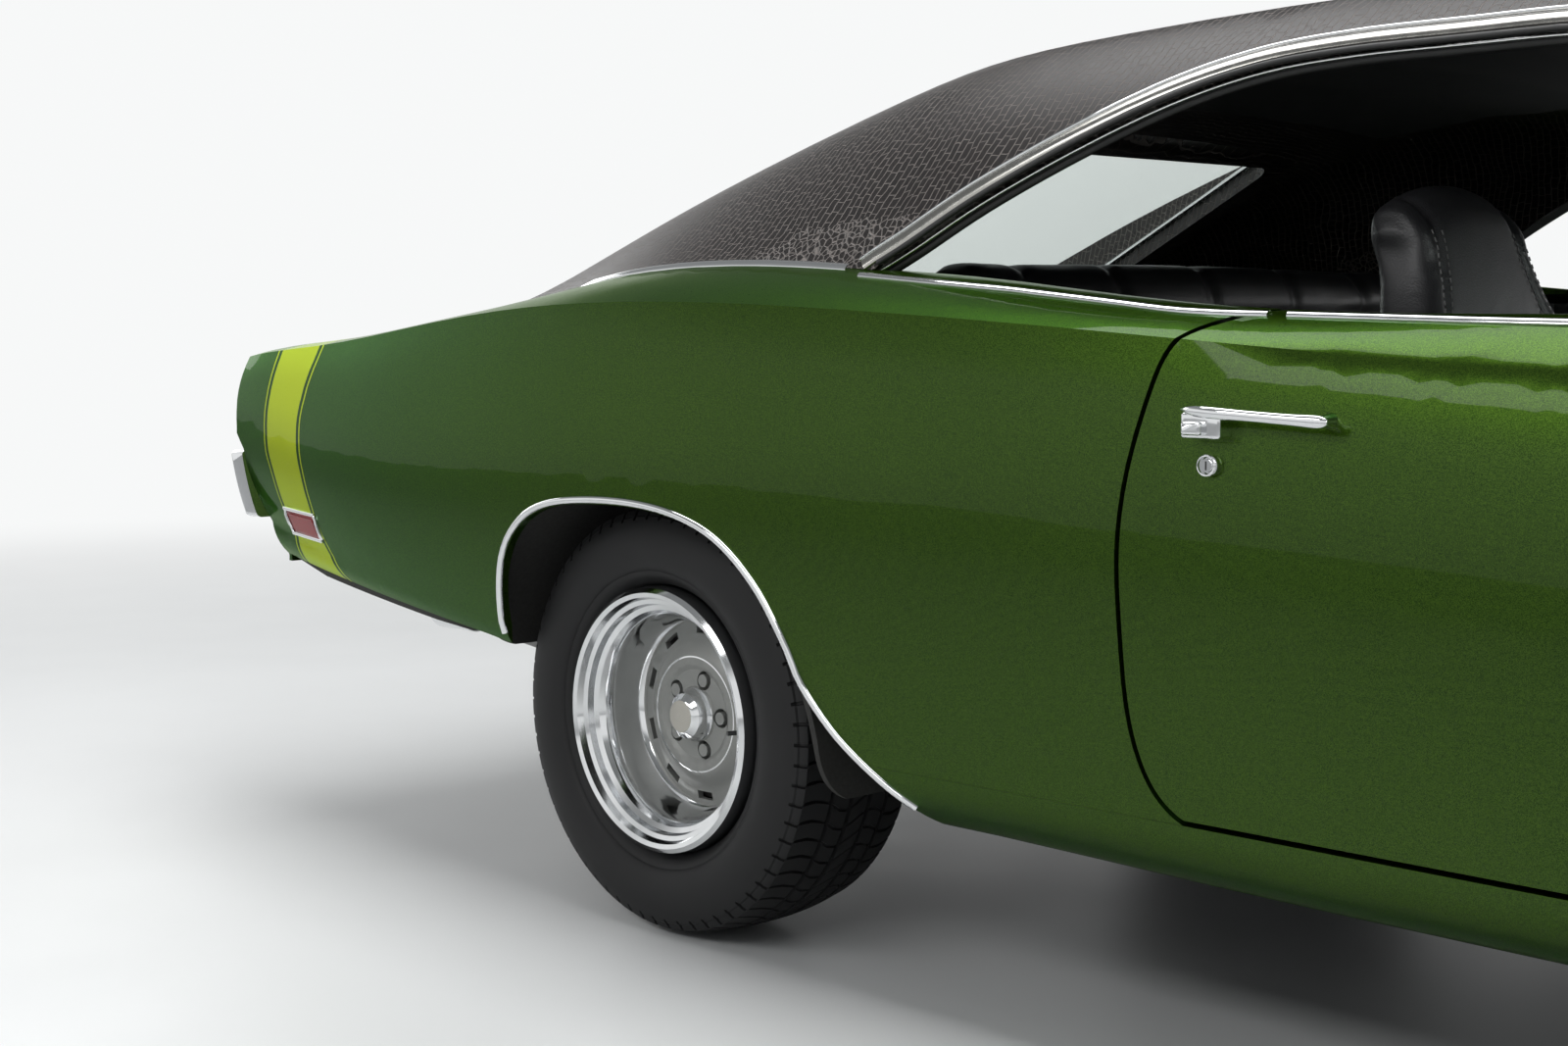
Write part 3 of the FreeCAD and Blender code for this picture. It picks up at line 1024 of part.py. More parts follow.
def tunnel_block(wall, end):
    """Tapered tunnel over the gearbox and shaft, drawn in by a wall."""
    wires = []
    ends = (tunnel_x[0], tunnel_x[1] + end)
    for x, foot, top, height in zip(ends, TUNNEL_HALF_FOOT, TUNNEL_HALF_TOP, TUNNEL_TOP):
        half = [(foot - wall, floor_base - FLOOR_THICK), (top - wall, height - wall)]
        corners = [V(x, y, z) for y, z in half] + [V(x, -y, z) for y, z in reversed(half)]
        wires.append(Part.makePolygon(corners + corners[:1]))
    return Part.makeLoft(wires, True, True)


PAD_SHARES = (-0.105, 0.055, -0.26, 0.26)
PAD_RISE = 6.0
pad_plate = box(x_at(PAD_SHARES[0]), x_at(PAD_SHARES[1]), y_at(PAD_SHARES[2]), y_at(PAD_SHARES[3]),
                z_at(0.530) - PAD_RISE, z_at(0.530) + PAD_RISE)
above_base = box(tunnel_x[0], tunnel_x[1], -BODY_HALF_WIDTH, BODY_HALF_WIDTH, floor_base, BODY_HEIGHT)
floor = through(floor_face, -FLOOR_HALF, FLOOR_HALF)
floor = floor.cut(box(x_at(0.166), WHEELBASE, y_at(0.80) - SEAM, BODY_HALF_WIDTH, 0, BODY_HEIGHT))
floor = floor.cut(box(x_at(0.166), WHEELBASE, -BODY_HALF_WIDTH, SEAM - y_at(0.80), 0, BODY_HEIGHT))
floor = floor.fuse([tunnel_block(0, 0).common(above_base), pad_plate]).cut(tunnel_block(TUNNEL_WALL, 0))
tunnel_room = tunnel_block(-SEAM, 0)
floor_room = through(grown(floor_face, SEAM), -FLOOR_HALF, FLOOR_HALF)
over_floor = straight(FLOOR_TOP_SHARES + [(-0.430, 1.200), (0.7598, 1.200), FLOOR_TOP_SHARES[0]])
floor_and_above = floor_room.fuse(through(side_face(over_floor), -FLOOR_HALF, FLOOR_HALF))
HOUSE_RADIUS = 402.0
HOUSE_WALL = 10.0
HOUSE_INNER = 598.0
AXLE_SLOT = 62.0
AXLE_SLOT_TOP = 460.0


def wheelhouse_drum(radius, inner):
    return Part.makeCylinder(radius, BODY_HALF_WIDTH, V(REAR_AXLE, inner, TYRE_RADIUS), ACROSS)


house_drum = wheelhouse_drum(HOUSE_RADIUS, HOUSE_INNER)
rocker_block = box(rocker_x[0] - SEAM, rocker_x[1] + SEAM, y_at(0.80) - SEAM, y_at(1.2), 0, ROCKER_TOP + SEAM)
tail_room = tail_cut.translated(V(TAIL_RECESS + TAIL_PANEL_THICK + SEAM, 0, 0))
quarter_wall_room = box(x_at(0.135) - SEAM, x_at(0.369), 0, y_at(1.2), 0, z_at(1.2))
quarter_wall_room = quarter_wall_room.cut(body_block(QUARTER_WALL + SEAM, -OVERRUN, -OVERRUN))
floor_cuts = [house_drum, rocker_block, quarter_wall_room]
floor = floor.common(inner_body).cut(floor_cuts + [mirrored(shape) for shape in floor_cuts] + [tail_room])
save("floor_pan", floor)

house = house_drum.cut(wheelhouse_drum(HOUSE_RADIUS - HOUSE_WALL, HOUSE_INNER + HOUSE_WALL))
house = house.common(body_block(SKIN + SEAM, SKIN + SEAM, 0))
house = house.cut([box(REAR_AXLE - AXLE_SLOT, REAR_AXLE + AXLE_SLOT, 0, HOUSE_INNER + OVERRUN / 2, 0,
                       AXLE_SLOT_TOP), quarter_wall_room, rocker_block])
save("wheelhouses", Part.makeCompound([house, mirrored(house)]))

FIREWALL_X = 932.0
FIREWALL_THICK = 14.0
FIREWALL_HALF = 740.0
PILLAR_BACK = 880.0
PILLAR_FRONT = 982.0
PILLAR_TOP = 905.0
firewall_block = box(FIREWALL_X, FIREWALL_X + FIREWALL_THICK, -FIREWALL_HALF, FIREWALL_HALF, floor_base,
                     BODY_HEIGHT)
pillar = box(PILLAR_BACK, PILLAR_FRONT, PILLAR_INNER, PILLAR_OUTER, floor_base, PILLAR_TOP)
firewall = joined([firewall_block, pillar, mirrored(pillar)] + hinge_straps
                  + [mirrored(strap) for strap in hinge_straps])
firewall = firewall.common(box(0, WHEELBASE, -y_at(1), y_at(1), 0, BODY_HEIGHT))
firewall = firewall.common(inner_body).cut([floor_room, tunnel_block(-TUNNEL_PLAY, FIREWALL_THICK)])
firewall = firewall.cut(rocker_block).cut(mirrored(rocker_block))
save("firewall", firewall)

APRON_FOOT = 438.0
APRON_OUTLINE = [(840.0, 762.0), (620.0, 752.0), (504.0, 704.0), (APRON_FOOT, 604.0), (APRON_FOOT, 380.0),
                 (428.0, 380.0), (428.0, 610.0), (496.0, 712.0), (616.0, 762.0), (840.0, 772.0)]
APRON_BACK = 1046.0
RAIL_IN = 14.0
RAIL_OUT = 34.0
RAIL_FOOT = 766.0
FRAME_INNER = 366.0
FRAME_OUTER = 436.0
FRAME_BOTTOM = 366.0
FRAME_TOP = 452.0
apron = lengthwise(APRON_OUTLINE, APRON_BACK, SUPPORT_X - SEAM)
rail = upright(grown(hood_face, RAIL_OUT), RAIL_FOOT, BODY_HEIGHT)
rail = rail.cut(upright(grown(hood_face, RAIL_IN), 0, BODY_HEIGHT * 2))
rail = rail.common(box(APRON_BACK, SUPPORT_X - SEAM, 0, y_at(1), 0, BODY_HEIGHT))
frame_rail = box(FIREWALL_X + FIREWALL_THICK + SEAM, SUPPORT_X - SEAM, FRAME_INNER, FRAME_OUTER, FRAME_BOTTOM,
                 FRAME_TOP)
apron_back = box(FIREWALL_X + FIREWALL_THICK + SEAM, APRON_BACK, FRAME_OUTER - TUNNEL_WALL, FRAME_OUTER,
                 FRAME_BOTTOM, z_at(0.78))
hood_leaf = hinge_leaf(HOOD_HINGE, RAIL_FOOT)
apron = joined([apron, rail, frame_rail, apron_back])
apron = apron.common(body_block(SKIN + SEAM, SKIN + SEAM, -OVERRUN)).fuse(hood_leaf)
apron = apron.cut(rocker_block)
save_pair("inner_fender", apron)

# Front suspension, steering and rear axle
CROSS_HALF_LENGTH = 62.0
CROSS_BOTTOM = 188.0
CROSS_TOP = 262.0
ARM_TIP = 704.0
ARM_THICK = 22.0
ARM_HALF_TIP = 12.0
ARM_HALF_FOOT = 110.0
ARM_FOOT_Y = 400.0
BALL_GAP = 0.4


def control_arm(z0):
    neck = KNUCKLE_INNER - ARM_THICK
    corners = [(-ARM_HALF_FOOT, ARM_FOOT_Y), (ARM_HALF_FOOT, ARM_FOOT_Y), (ARM_HALF_TIP, neck),
               (ARM_HALF_TIP, ARM_TIP), (-ARM_HALF_TIP, ARM_TIP), (-ARM_HALF_TIP, neck)]
    points = [V(FRONT_AXLE + x, y, z0) for x, y in corners]
    return Part.Face(Part.makePolygon(points + points[:1])).extrude(V(0, 0, ARM_THICK))


cross_back = FRONT_AXLE - CROSS_HALF_LENGTH
cross_front = FRONT_AXLE + CROSS_HALF_LENGTH
cross_member = box(cross_back, cross_front, -FRAME_OUTER, FRAME_OUTER, CROSS_BOTTOM, CROSS_TOP)
tower = box(cross_back, cross_front, FRAME_INNER, FRAME_OUTER, CROSS_TOP, FRAME_BOTTOM - SEAM)
arm_lower = control_arm(KNUCKLE_BOTTOM - BALL_GAP - ARM_THICK)
arm_upper = control_arm(KNUCKLE_TOP + BALL_GAP)
parts = [cross_member]
for piece in (tower, arm_lower):
    parts += [piece, mirrored(piece)]
upper = arm_upper.cut(box(0, WHEELBASE, 0, APRON_FOOT + SEAM, 0, BODY_HEIGHT))
save("front_suspension", Part.makeCompound(joined(parts).Solids + [upper, mirrored(upper)]))

AXLE_TUBE = 38.0
DIFF_RADIUS = 128.0
DIFF_NECK = 90.0
DIFF_NOSE = 46.0
DIFF_REACH = 290.0
axle_half = WHEEL_PLANE + DISC_BACK
axle_tube = Part.makeCylinder(AXLE_TUBE, 2 * axle_half, V(REAR_AXLE, -axle_half, TYRE_RADIUS), ACROSS)
diff = Part.makeSphere(DIFF_RADIUS, V(REAR_AXLE, 0, TYRE_RADIUS))
nose = Part.makeCone(DIFF_NECK, DIFF_NOSE, DIFF_REACH, V(REAR_AXLE, 0, TYRE_RADIUS), ALONG)
rear_drum = drum.translated(V(REAR_AXLE, WHEEL_PLANE, TYRE_RADIUS))
save("rear_axle", joined([axle_tube, diff, nose, rear_drum, mirrored(rear_drum)]))

SPRING_SHARES = [[(0.190, 0.330), (0.090, 0.262), (0.000, 0.272), (-0.110, 0.292), (-0.235, 0.372)],
                 [(-0.235, 0.372), (-0.235, 0.352)],
                 [(-0.235, 0.352), (-0.110, 0.272), (0.000, 0.244), (0.090, 0.236), (0.190, 0.306)]]
SPRING_INNER = 500.0
SPRING_OUTER = 562.0
SHOCK_Y = 430.0
SHOCK_RADIUS = 24.0
spring = through(side_face(SPRING_SHARES), SPRING_INNER, SPRING_OUTER)
pad = box(REAR_AXLE - AXLE_TUBE, REAR_AXLE + AXLE_TUBE, SPRING_INNER, SPRING_OUTER, z_at(0.268),
          TYRE_RADIUS - AXLE_TUBE - SEAM)
HANGER_HALF = 28.0
spring_front = x_at(SPRING_SHARES[0][0][0])
spring_rear = x_at(SPRING_SHARES[1][0][0])
front_hanger = box(spring_front - HANGER_HALF, spring_front, SPRING_INNER, SPRING_OUTER, z_at(0.312),
                   z_at(0.6))
rear_hanger = box(spring_rear, spring_rear + HANGER_HALF, SPRING_INNER, SPRING_OUTER, z_at(0.360),
                  z_at(0.6))
shock = Part.makeCylinder(SHOCK_RADIUS, z_at(0.3), V(REAR_AXLE, SHOCK_Y, TYRE_RADIUS + AXLE_TUBE + SEAM))
shock = shock.cut(floor_and_above)
spring = joined([spring, pad, front_hanger, rear_hanger]).cut(floor_and_above)
save("rear_springs", Part.makeCompound([spring, mirrored(spring), shock, mirrored(shock)]))

SHAFT_RADIUS = 36.0
GEARBOX_END = 300.0
shaft_start = REAR_AXLE + DIFF_REACH + SEAM
drive_shaft = Part.makeCylinder(SHAFT_RADIUS, GEARBOX_END - SEAM - shaft_start,
                                V(shaft_start, 0, TYRE_RADIUS), ALONG)
save("drive_shaft", drive_shaft)

ENGINE_BACK = 1040.0
ENGINE_FRONT = 1760.0
ENGINE_OUTLINE = [(-110.0, 300.0), (-110.0, 470.0), (-290.0, 640.0), (-210.0, 760.0), (-120.0, 800.0),
                  (120.0, 800.0), (210.0, 760.0), (290.0, 640.0), (110.0, 470.0), (110.0, 300.0)]
GEARBOX_FRONT = 105.0
GEARBOX_TAIL = 62.0
engine = lengthwise(ENGINE_OUTLINE, ENGINE_BACK, ENGINE_FRONT)
gearbox = Part.makeCone(GEARBOX_TAIL, GEARBOX_FRONT, ENGINE_BACK - GEARBOX_END,
                        V(GEARBOX_END, 0, TYRE_RADIUS), ALONG)
MOUNT_HALF = 30.0
mount_reach = ENGINE_OUTLINE[-1][0]
mount = box(cross_back, cross_back + MOUNT_HALF, -mount_reach, mount_reach, CROSS_TOP + SEAM, TYRE_RADIUS)
save("engine_block", joined([engine, gearbox, mount]))

TANK_SHARES = (-0.350, -0.170, -0.33, 0.33, 0.290, 0.600)
TANK_CORNER = 40.0
tank = share_box(*TANK_SHARES)
tank = tank.makeFillet(TANK_CORNER, [e for e in tank.Edges if abs(e.tangentAt(e.FirstParameter).z) > 0.9])
tank = tank.cut(floor_and_above)
save("fuel_tank", tank)

PIPE_RADIUS = 26.0
PIPE_SHARES = [(0.770, 0.220, 0.218), (0.620, 0.240, 0.205), (0.400, 0.260, 0.200), (0.250, 0.280, 0.205),
               (0.110, 0.330, 0.330), (0.000, 0.360, 0.440), (-0.100, 0.400, 0.400), (-0.180, 0.420, 0.320),
               (-0.300, 0.430, 0.335), (-0.408, 0.440, 0.350)]
MUFFLER_SHARES = (0.280, 0.480)
MUFFLER_HALF = 100.0
MUFFLER_RISE = 46.0
MUFFLER_PLACE_SHARES = (0.265, 0.202)
MUFFLER_FLAT_SHARE = 0.7
path = spline([V(x_at(x), y_at(y), z_at(z)) for x, y, z in PIPE_SHARES])
start = path.valueAt(path.FirstParameter)
along = path.tangentAt(path.FirstParameter)
pipe = Part.Wire([path]).makePipe(Part.Face(Part.Wire([Part.makeCircle(PIPE_RADIUS, start, along)])))
muffler_y = y_at(MUFFLER_PLACE_SHARES[0])
muffler_z = z_at(MUFFLER_PLACE_SHARES[1])
flat = MUFFLER_HALF * MUFFLER_FLAT_SHARE
flank = MUFFLER_RISE / 2
lower = [(-MUFFLER_HALF, -flank), (-flat, -MUFFLER_RISE), (flat, -MUFFLER_RISE), (MUFFLER_HALF, -flank)]
upper_half = [(y, -z) for y, z in reversed(lower)]
muffler = lengthwise([(muffler_y + y, muffler_z + z) for y, z in lower + upper_half],
                     x_at(MUFFLER_SHARES[0]), x_at(MUFFLER_SHARES[1]))
HANGER_THICK = 12.0
HANGER_SHARES = [(0.380, 0.265, 0.220), (-0.372, 0.436, 0.343)]
hangers = []
for along, out, foot in HANGER_SHARES:
    hangers.append(box(x_at(along), x_at(along) + HANGER_THICK, y_at(out), y_at(out) + HANGER_THICK,
                       z_at(foot), z_at(0.6)))
exhaust = joined([pipe, muffler] + hangers).cut(floor_and_above)
save("exhaust", Part.makeCompound([exhaust, mirrored(exhaust)]))

# Cabin: seats, console, dash, steering wheel, shelf
SEAT_MIDDLE = 368.0
SEAT_HALF = 262.0
SEAT_SHARES = [[(0.392, 0.300), (0.556, 0.300)],
               [(0.556, 0.300), (0.556, 0.400)],
               [(0.556, 0.400), (0.563, 0.450), (0.545, 0.482)],
               [(0.545, 0.482), (0.470, 0.462), (0.412, 0.450)],
               [(0.412, 0.450), (0.396, 0.700), (0.361, 1.090)],
               [(0.361, 1.090), (0.352, 1.118), (0.337, 1.108)],
               [(0.337, 1.108), (0.352, 0.700), (0.372, 0.400)],
               [(0.372, 0.400), (0.392, 0.300)]]
seat = through(side_face(SEAT_SHARES), SEAT_MIDDLE - SEAT_HALF, SEAT_MIDDLE + SEAT_HALF)
SEAT_FOOT_INSET = 60.0
seat_foot = box(x_at(0.40), x_at(0.545), SEAT_MIDDLE - SEAT_HALF + SEAT_FOOT_INSET,
                SEAT_MIDDLE + SEAT_HALF - SEAT_FOOT_INSET, z_at(0.276) + SEAM, z_at(0.31))
save_pair("seat_front", joined([seat, seat_foot]).cut(tunnel_room))

REAR_SEAT_HALF = 620.0
REAR_SEAT_SHARES = [[(0.248, 0.4203), (0.262, 0.560)],
                    [(0.262, 0.560), (0.250, 0.610), (0.215, 0.590), (0.150, 0.560)],
                    [(0.150, 0.560), (0.135, 0.780), (0.118, 1.000)],
                    [(0.118, 1.000), (0.108, 1.030), (0.092, 1.020)],
                    [(0.092, 1.020), (0.092, 0.5303)],
                    [(0.092, 0.5303), (0.104, 0.5303)],
                    [(0.104, 0.5303), (0.124, 0.4503)],
                    [(0.124, 0.4503), (0.2416, 0.4203)]]
rear_seat = through(side_face(REAR_SEAT_SHARES), -REAR_SEAT_HALF, REAR_SEAT_HALF)
rear_seat = rear_seat.cut([house_drum, mirrored(house_drum), tunnel_room, floor_room])
save("rear_seat", rear_seat)

SHELF_SHARES = (-0.130, 0.0918, 0.985, 1.000)
shelf = share_box(SHELF_SHARES[0], SHELF_SHARES[1], -0.82, 0.82, SHELF_SHARES[2], SHELF_SHARES[3])
shelf_side = body_block(SKIN + SEAM, SKIN + SEAM, 0)
bulkhead = share_box(0.0818, 0.0918, -0.60, 0.60, 0.5303, 0.99)
shelf = joined([shelf.common(shelf_side), bulkhead])
save("rear_shelf", shelf)

CONSOLE_HALF = 92.0
CONSOLE_SHARES = (0.395, 0.610, 0.400, 0.540)
console = box(x_at(CONSOLE_SHARES[0]), x_at(CONSOLE_SHARES[1]), -CONSOLE_HALF, CONSOLE_HALF,
              z_at(CONSOLE_SHARES[2]), z_at(CONSOLE_SHARES[3])).cut(tunnel_room)
SHIFTER_RADIUS = 7.0
SHIFTER_LENGTH = 160.0
SHIFTER_LEAN = V(-0.2, 0, 1)
KNOB_RADIUS = 23.8
SHIFTER_SHARES = (0.565, 0.53)
shifter_foot = V(x_at(SHIFTER_SHARES[0]), 0, z_at(SHIFTER_SHARES[1]))
shifter = Part.makeCylinder(SHIFTER_RADIUS, SHIFTER_LENGTH, shifter_foot, SHIFTER_LEAN)
knob = Part.makeSphere(KNOB_RADIUS, shifter_foot + SHIFTER_LEAN / SHIFTER_LEAN.Length * SHIFTER_LENGTH)
save("console", joined([console, shifter, knob]))

DASH_HALF = PILLAR_INNER - SEAM
DASH_SHARES = [[(0.650, 0.905), (0.635, 0.885), (0.640, 0.850)],
               [(0.640, 0.850), (0.655, 0.700)],
               [(0.655, 0.700), (0.690, 0.660)],
               [(0.690, 0.660), (0.7567, 0.660)],
               [(0.7567, 0.660), (0.7567, 0.915)],
               [(0.7567, 0.915), (0.700, 0.925), (0.650, 0.905)]]
dash = through(side_face(DASH_SHARES), -DASH_HALF, DASH_HALF)
dash = dash.common(body_block(SKIN + SEAM, SKIN + SEAM, 0))
WHEEL_CENTRE = V(x_at(0.578), 370.0, z_at(0.795))
COLUMN_TILT = 24.0
column_way = V(math.cos(math.radians(COLUMN_TILT)), 0, -math.sin(math.radians(COLUMN_TILT)))
STEERING_RADIUS = 190.0
STEERING_RIM = 11.0
HUB_RADIUS = 34.0
COLUMN_RADIUS = 27.0
COLUMN_START = 62.0
COLUMN_LENGTH = 250.0
column = Part.makeCylinder(COLUMN_RADIUS, COLUMN_LENGTH, WHEEL_CENTRE + column_way * COLUMN_START, column_way)
CLUSTER_SHARES = (0.600, 0.6562, 0.745, 0.868)
CLUSTER_HALF = 250.0
cluster = box(x_at(CLUSTER_SHARES[0]), x_at(CLUSTER_SHARES[1]), WHEEL_CENTRE.y - CLUSTER_HALF,
              WHEEL_CENTRE.y + CLUSTER_HALF, z_at(CLUSTER_SHARES[2]), z_at(CLUSTER_SHARES[3]))
save("dashboard", joined([dash.cut(cluster), column]))
ring = Part.makeTorus(STEERING_RADIUS, STEERING_RIM, WHEEL_CENTRE, column_way)
hub = Part.makeCylinder(HUB_RADIUS, COLUMN_START - FIT, WHEEL_CENTRE, column_way)
SPOKE_WIDTH = 26.0
SPOKE_THICK = 8.0
spoke = box(-SPOKE_THICK / 2, SPOKE_THICK / 2, -STEERING_RADIUS, STEERING_RADIUS, -SPOKE_WIDTH / 2,
            SPOKE_WIDTH / 2)
spoke.rotate(V(0, 0, 0), ACROSS, COLUMN_TILT)
spoke.translate(WHEEL_CENTRE + column_way * SPOKE_THICK)
save("steering_wheel", joined([ring, hub, spoke]))
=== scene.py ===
import json
import math

import bmesh
import bpy
from mathutils import Matrix, Vector
from mathutils.bvhtree import BVHTree


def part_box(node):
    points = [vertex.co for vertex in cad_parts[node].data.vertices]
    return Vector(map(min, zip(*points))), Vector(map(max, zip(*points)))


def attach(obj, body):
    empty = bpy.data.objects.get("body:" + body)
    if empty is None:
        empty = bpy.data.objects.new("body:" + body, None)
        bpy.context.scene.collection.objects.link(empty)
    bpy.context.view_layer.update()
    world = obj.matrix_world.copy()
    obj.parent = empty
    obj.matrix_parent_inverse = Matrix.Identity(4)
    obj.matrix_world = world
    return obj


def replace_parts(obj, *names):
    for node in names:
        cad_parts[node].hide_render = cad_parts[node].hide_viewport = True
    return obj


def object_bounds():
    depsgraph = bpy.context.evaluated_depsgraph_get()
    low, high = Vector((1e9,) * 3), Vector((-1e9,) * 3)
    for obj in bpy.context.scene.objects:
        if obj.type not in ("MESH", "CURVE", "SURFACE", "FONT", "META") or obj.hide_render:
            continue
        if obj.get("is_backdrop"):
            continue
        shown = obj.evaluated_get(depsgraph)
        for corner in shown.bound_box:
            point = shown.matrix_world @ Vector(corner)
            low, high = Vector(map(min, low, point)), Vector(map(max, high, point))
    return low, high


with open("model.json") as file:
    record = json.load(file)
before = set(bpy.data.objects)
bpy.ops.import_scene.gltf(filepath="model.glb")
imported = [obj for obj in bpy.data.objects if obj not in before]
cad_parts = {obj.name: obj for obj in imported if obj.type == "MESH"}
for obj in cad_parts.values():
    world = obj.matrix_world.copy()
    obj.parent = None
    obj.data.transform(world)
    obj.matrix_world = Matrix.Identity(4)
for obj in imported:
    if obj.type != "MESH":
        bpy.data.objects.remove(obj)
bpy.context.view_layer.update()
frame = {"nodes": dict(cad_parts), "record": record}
nodes = frame["nodes"]

# The car's layout, metres
WHEELBASE = 2.972
REAR_AXLE = -1.318
FRONT_AXLE = 1.654
HALF_WIDTH = 0.973
TYRE_RADIUS = 0.336
WHEEL_PLANE = 0.757
WHEEL_SCALE = 0.2
SIDES = (("left", 1), ("right", -1))
AHEAD, ASTERN, LEFT, RIGHT, UP, DOWN = (Vector(way) for way in (
    (1, 0, 0), (-1, 0, 0), (0, 1, 0), (0, -1, 0), (0, 0, 1), (0, 0, -1)))


def x_at(share):
    """x of a share of the wheelbase ahead of the rear axle."""
    return WHEELBASE * share + REAR_AXLE


# Materials
def rgba(tone):
    """A colour from a grey, from three shares or from four."""
    tone = (tone,) * 3 if isinstance(tone, (int, float)) else tone
    return (*tone, 1)[:4]


def shaded(tone, share):
    return tuple(v * share for v in tone)


def join(value, slot):
    """Feeds a node's input with an output, a number, a grey or a colour."""
    if isinstance(value, Value):
        slot.id_data.links.new(value.socket, slot)
    else:
        slot.default_value = rgba(value) if slot.type == "RGBA" else value


class Value:
    """A node's output, with arithmetic."""

    def __init__(self, socket):
        self.socket = socket

    def maths(self, kind, other=None):
        made = self.socket.id_data.nodes.new("ShaderNodeMath")
        made.operation = kind
        join(self, made.inputs[0])
        if other is not None:
            join(other, made.inputs[1])
        return Value(made.outputs[0])

    def __add__(self, other):
        return self.maths("ADD", other)

    def __sub__(self, other):
        return self.maths("SUBTRACT", other)

    def __mul__(self, other):
        return self.maths("MULTIPLY", other)

    def __truediv__(self, other):
        return self.maths("DIVIDE", other)


class Nodes:
    """Makes nodes in one tree and returns their outputs."""

    def __init__(self, tree):
        self.tree = tree
        tree.nodes.clear()

    def node(self, kind, sockets=(), output=0, **settings):
        made = self.tree.nodes.new("ShaderNode" + kind)
        for key, value in settings.items():
            setattr(made, key, value)
        for key, value in dict(sockets).items():
            join(value, made.inputs[key])
        return Value(made.outputs[output]) if len(made.outputs) else None

    def parts(self, vector):
        return [Value(socket) for socket in self.node("SeparateXYZ", {0: vector}).socket.node.outputs]

    def ramp(self, value, stops, interpolation="LINEAR"):
        made = self.node("ValToRGB", {0: value})
        band = made.socket.node.color_ramp
        band.interpolation = interpolation
        while len(band.elements) < len(stops):
            band.elements.new(0.5)
        for element, (at, tone) in zip(band.elements, stops):
            element.position, element.color = at, rgba(tone)
        return made

    def seen_by(self, *rays):
        """1 for the named kinds of ray, else 0."""
        path = self.node("LightPath").socket.node
        total = Value(path.outputs[rays[0]])
        for ray in rays[1:]:
            total = total.maths("MAXIMUM", Value(path.outputs[ray]))
        return total


class Look(Nodes):
    """A material being made, with its shader and the place on the object."""

    def __init__(self, name):
        self.material = bpy.data.materials.new(name)
        self.material.use_nodes = True
        super().__init__(self.material.node_tree)
        self.shader = self.node("BsdfPrincipled")
        self.at = self.node("TexCoord", output="Object")

    def noise(self, scale, detail, output="Fac"):
        return self.node("TexNoise", {"Vector": self.at, "Scale": scale, "Detail": detail}, output)

    def cells(self, scale, output, **settings):
        return self.node("TexVoronoi", {"Vector": self.at, "Scale": scale}, output, **settings)

    def waves(self, scale, way):
        return self.node("TexWave", {"Vector": self.at, "Scale": scale}, "Fac", bands_direction=way)

    def mix(self, factor, a, b):
        return self.node("Mix", {0: factor, 6: a, 7: b}, 2, data_type="RGBA")

    def span(self, value, low, high):
        return self.node("MapRange", {0: value, 3: low, 4: high})

    def bump(self, height, strength, distance):
        return self.node("Bump", {"Strength": strength, "Distance": distance, "Height": height})

    def done(self, surface=None, **sockets):
        """Feeds the shader's inputs and returns the material."""
        for key, value in sockets.items():
            join(value, self.shader.socket.node.inputs[key.replace("_", " ")])
        self.node("OutputMaterial", {0: surface or self.shader})
        return self.material


GREEN_DEEP = (0.008, 0.028, 0.002)
GREEN_FLAKE = (0.062, 0.122, 0.010)
LIME = (0.50, 0.56, 0.02)
STRIPE_DARK = (0.012, 0.030, 0.006)
# Stripe edges on the side: height, then x of its rear and front edge
STRIPE_LINE = ((0.46, -2.385, -2.139), (0.55, -2.424, -2.252), (0.66, -2.468, -2.300),
               (0.741, -2.494, -2.319), (0.82, -2.486, -2.303), (0.895, -2.472, -2.277),
               (0.98, -2.460, -2.255))
# Bands across the stripe, with a tenth of bare paint on each side
BARE = (0, 0, 0, 0)
STRIPE_BANDS = ((0.0, BARE), (0.10, STRIPE_DARK), (0.112, LIME), (0.135, STRIPE_DARK), (0.185, LIME),
                (0.815, STRIPE_DARK), (0.865, LIME), (0.888, STRIPE_DARK), (0.90, BARE))


def paint(name, striped):
    look = Look(name)
    tone = look.ramp(look.cells(1400, "Color"), ((0.15, GREEN_DEEP), (0.95, GREEN_FLAKE)))
    colour = look.mix(look.noise(2.2, 2) * 0.22, tone, GREEN_DEEP)
    if striped:
        x, _, z = look.parts(look.at)
        low, high = STRIPE_LINE[0][0], STRIPE_LINE[-1][0]
        share = (z - low) / (high - low)
        edges = []
        for index in (1, 2):
            base = min(row[index] for row in STRIPE_LINE)
            reach = max(row[index] for row in STRIPE_LINE) - base
            curve = look.node("FloatCurve", {1: share})
            mapping = curve.socket.node.mapping
            points = mapping.curves[0].points
            spots = [((row[0] - low) / (high - low), (row[index] - base) / reach) for row in STRIPE_LINE]
            points[0].location, points[1].location = spots[0], spots[-1]
            for spot in spots[1:-1]:
                points.new(*spot)
            mapping.update()
            edges.append(curve * reach + base)
        bands = look.ramp((x - edges[0]) / (edges[1] - edges[0]) * 0.8 + 0.1, STRIPE_BANDS, "CONSTANT")
        colour = look.mix(Value(bands.socket.node.outputs["Alpha"]), colour, bands)
    return look.done(Base_Color=colour, Metallic=0.88, Specular_Tint=(0.40, 0.62, 0.22), Coat_Weight=0.30,
                     Coat_Roughness=0.02, Coat_IOR=1.45, Roughness=look.span(look.noise(320, 2), 0.24, 0.36),
                     Coat_Normal=look.bump(look.noise(3.0, 1), 0.008, 0.001))


